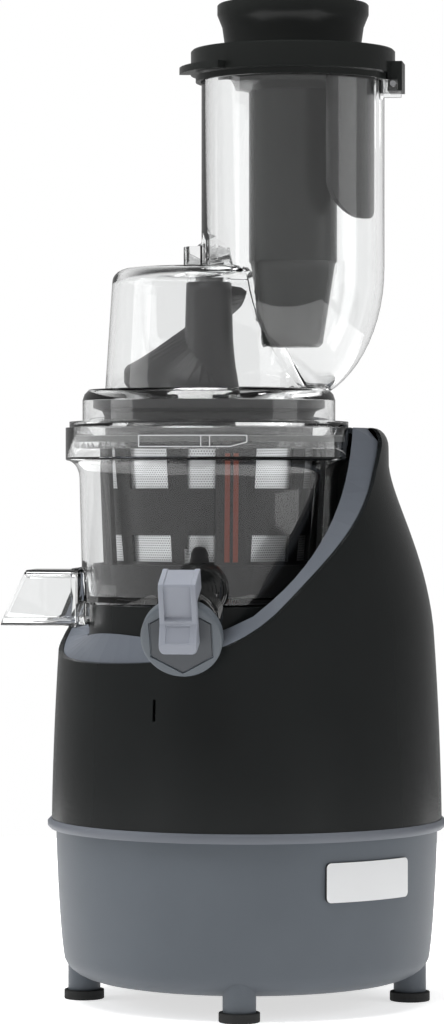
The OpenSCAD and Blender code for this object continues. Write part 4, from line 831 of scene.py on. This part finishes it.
def add_rib(shape, start, end, steps):
    """A low rib from one (degrees, height) to another, heights in millimetres."""
    along = Vector((math.radians(end[0] - start[0]) * ring_radius, (end[1] - start[1]) * MM))
    side = Vector((-along.y, along.x)).normalized() * rib_width / 2
    sections = []
    for step in range(steps + 1):
        share = step / steps
        turn = math.radians(start[0] + share * (end[0] - start[0]))
        height = (start[1] + share * (end[1] - start[1])) * MM
        ring = []
        for sign, reach in ((-1, -rib_proud), (1, -rib_proud), (1, rib_proud), (-1, rib_proud)):
            bend = turn + sign * side.x / ring_radius
            radius = ring_radius + reach
            ring.append(Vector((bowl_axis[0] + radius * math.cos(bend),
                                bowl_axis[1] + radius * math.sin(bend), height + sign * side.y)))
        sections.append(ring)
    loft(shape, sections)


guide_low, guide_high = 289.8, 295.4
guide_start, guide_end = -110.8, -67.7
run_in, run_in_rise = 6.5, 2.2
stops = (-85.6, -82.2)
guide = bmesh.new()
add_rib(guide, (guide_start, guide_high), (guide_end, guide_high), 24)
add_rib(guide, (guide_start, guide_low), (guide_end - run_in, guide_low), 20)
add_rib(guide, (guide_start, guide_low), (guide_start, guide_high), 1)
add_rib(guide, (guide_end - run_in, guide_low), (guide_end, guide_low + run_in_rise), 3)
add_rib(guide, (guide_end, guide_low + run_in_rise), (guide_end, guide_high), 1)
for stop in stops:
    add_rib(guide, (stop, guide_low), (stop, guide_high), 1)
# The rib takes the nameplate's white as a painted highlight, for the light that its clear edges catch.
make_piece("ring_guide_highlight", guide, plate_white, "bowl_set", sharp=30)
print("guide wound at radius", round(ring_radius / MM, 2), "mm")

# %% [markdown]
# ## Floor
#
# A product stands on a pale table in a pale room. The floor is one sheet. Lit by the same lamps as the
# object it would come out grey, so for the camera, and for what mirrors it or lets it through, emission
# lifts it. Near the feet the lift is smaller, so the soft shadow stays; further out it grows until the
# sheet is as white as the room and its edge can't be seen. Matte pieces gather only a share of that
# lift, the bounce, so that the light from below stays weaker than the lamps.

# %% The floor sheet
def make_floor(half_width):
    """One square sheet, without a finish yet."""
    shape = bmesh.new()
    bmesh.ops.create_grid(shape, x_segments=1, y_segments=1, size=half_width)
    mesh = bpy.data.meshes.new("floor")
    shape.to_mesh(mesh)
    shape.free()
    floor = bpy.data.objects.new("floor", mesh)
    bpy.context.scene.collection.objects.link(floor)
    return floor


def floor_finish(near, far, low, high, bounce):
    """A pale sheet whose lift grows from low to high between near and far, in metres."""
    finish, tree, shader, place = start_finish("floor_white", Roughness=0.8, Specular_IOR_Level=0.1)
    wide = noise(tree, place, per_metre=5)
    pale = tint(tree, wide, shade(236, 236, 236), shade(240, 240, 240))
    tree.links.new(pale, shader.inputs["Base Color"])
    away = add_node(tree, "ShaderNodeVectorMath", {0: place}, operation="LENGTH").outputs["Value"]
    lift = add_node(tree, "ShaderNodeMapRange",
                    {"Value": away, "From Min": near, "From Max": far, "To Min": low, "To Max": high},
                    interpolation_type="SMOOTHSTEP").outputs["Result"]
    ray = add_node(tree, "ShaderNodeLightPath").outputs
    bent = maths(tree, "MAXIMUM", ray["Is Glossy Ray"], ray["Is Transmission Ray"])
    seen = maths(tree, "MAXIMUM", ray["Is Camera Ray"], bent)
    seen = maths(tree, "MAXIMUM", seen, maths(tree, "MULTIPLY", ray["Is Diffuse Ray"], bounce))
    glow = add_node(tree, "ShaderNodeEmission",
                    {"Color": (1, 1, 1, 1), "Strength": maths(tree, "MULTIPLY", seen, lift)})
    both = add_node(tree, "ShaderNodeAddShader")
    tree.links.new(shader.outputs["BSDF"], both.inputs[0])
    tree.links.new(glow.outputs["Emission"], both.inputs[1])
    tree.links.new(both.outputs["Shader"], tree.nodes["Material Output"].inputs["Surface"])
    return finish


floor = make_floor(half_width=0.9)
floor.data.materials.append(floor_finish(near=0.14, far=0.42, low=0.64, high=0.97, bounce=0.45))
print("floor laid")

# %% [markdown]
# ## Room
#
# The world is the room round the table. What the camera sees of it is white. The clear walls need
# something more: in an all-white room their edges vanish, because bent light finds white wherever it
# goes. In a studio dark cards stand beside glass for that reason. Here the ceiling is the card. For
# the clear and the glossy surfaces the room is white round the horizon and falls to near black
# overhead, the same at every bearing. Upright walls stay bright, while rims, lips and the crown of the
# dome, which bend light up or down, draw dark lines from whichever side one looks. Mirrored light is
# held well below what is seen through a wall, or dark pieces in the bowl would look milky. Matte
# surfaces gather a plain fill instead. So does light that has met a matte surface once already, which
# keeps the pieces in the bowl free of grain.

# %% White room with a dark ceiling for reflections
def backdrop(tree, strength):
    """A white background of a given strength."""
    return add_node(tree, "ShaderNodeBackground", {"Color": (1, 1, 1, 1), "Strength": strength}).outputs[0]


def choose(tree, factor, first, second):
    """The first shader where the factor is 0, the second where it is 1."""
    mix = add_node(tree, "ShaderNodeMixShader", {"Fac": factor})
    tree.links.new(first, mix.inputs[1])
    tree.links.new(second, mix.inputs[2])
    return mix.outputs[0]


def make_room(bright_to, dark_from, ceiling, mirror, fill):
    """Slopes are in degrees above the horizon; ceiling, mirror and fill are strengths."""
    world = bpy.data.worlds.new("room")
    bpy.context.scene.world = world
    world.use_nodes = True
    tree = world.node_tree
    tree.nodes.clear()
    way = add_node(tree, "ShaderNodeTexCoord").outputs["Generated"]
    parts = add_node(tree, "ShaderNodeSeparateXYZ", {"Vector": way})
    slope = maths(tree, "ABSOLUTE", parts.outputs["Z"])
    dome = add_node(tree, "ShaderNodeMapRange",
                    {"Value": slope, "From Min": math.sin(math.radians(bright_to)),
                     "From Max": math.sin(math.radians(dark_from)), "To Min": 1.0,
                     "To Max": ceiling}, interpolation_type="SMOOTHSTEP").outputs["Result"]
    ray = add_node(tree, "ShaderNodeLightPath").outputs
    bent = maths(tree, "MAXIMUM", ray["Is Glossy Ray"], ray["Is Transmission Ray"])
    not_yet_matte = maths(tree, "LESS_THAN", ray["Diffuse Depth"], 0.5)
    sees_cards = maths(tree, "MULTIPLY", bent, not_yet_matte)
    through = add_node(tree, "ShaderNodeMapRange",
                       {"Value": ray["Is Transmission Ray"], "To Min": mirror}).outputs["Result"]
    cards = backdrop(tree, maths(tree, "MULTIPLY", dome, through))
    room = choose(tree, sees_cards, backdrop(tree, fill), cards)
    room = choose(tree, ray["Is Camera Ray"], room, backdrop(tree, 1.0))
    out = add_node(tree, "ShaderNodeOutputWorld")
    tree.links.new(room, out.inputs["Surface"])


make_room(bright_to=16, dark_from=52, ceiling=0.05, mirror=0.3, fill=0.19)
print("room made")

# %% [markdown]
# ## Lamps
#
# Four large soft lamps. The strongest hangs overhead, a little to the front, so that what faces up is
# bright and what faces the viewer stays a shade darker. One stands at each side and models the round
# body, and one from behind draws the rims of the clear dome. Large lamps give soft edges to shadows,
# as the softboxes in a studio do. None is allowed to mirror in the gloss, since white boxes in a
# curved shell would look like stripes of paint: the bright band of the room round the horizon gives
# the gloss its long, even highlight instead.

# %% Overhead, sides and rim
def add_lamp(name, place, width, power, aim):
    """A tall soft lamp, power in watts, turned towards its aim."""
    tall = 1.4
    data = bpy.data.lights.new(name, "AREA")
    data.shape = "RECTANGLE"
    data.size = width
    data.size_y = width * tall
    data.energy = power
    lamp = bpy.data.objects.new(name, data)
    lamp.location = place
    lamp.rotation_euler = (Vector(aim) - Vector(place)).to_track_quat("-Z", "Y").to_euler()
    bpy.context.scene.collection.objects.link(lamp)
    lamp.visible_glossy = False


object_middle = (cad_box[0][2] + cad_box[1][2]) / 2
aim_point = (0.0, 0.0, object_middle)
add_lamp("overhead", (-0.3, -0.55, 2.2), 1.1, 44, aim_point)
add_lamp("left", (-1.9, -0.3, 0.9), 1.0, 12, aim_point)
add_lamp("right", (1.9, -0.25, 0.8), 1.0, 8, aim_point)
add_lamp("rim", (0.4, 1.8, 1.6), 1.2, 12, aim_point)
print("lamps placed:", len(bpy.data.lights))

# %% [markdown]
# ## Camera
#
# The view is almost frontal, a little from the right, with the lens nearly level with the middle of
# the object, as a catalogue picture is taken. A long lens, two metres away, keeps upright lines upright.

# %% The catalogue view
camera_data = bpy.data.cameras.new("camera")
camera_data.sensor_width = 36
camera_data.lens = 137.3
camera = bpy.data.objects.new("camera", camera_data)
camera.location = Vector((260.6, -2017.6, 275.6)) * MM
camera_aim = Vector((-2.1, 15.5, 256.0)) * MM
camera.rotation_euler = (camera_aim - camera.location).to_track_quat("-Z", "Y").to_euler()
bpy.context.scene.collection.objects.link(camera)
bpy.context.scene.camera = camera
bpy.context.scene.view_settings.view_transform = "Standard"
print("camera at", tuple(round(part, 3) for part in camera.location))
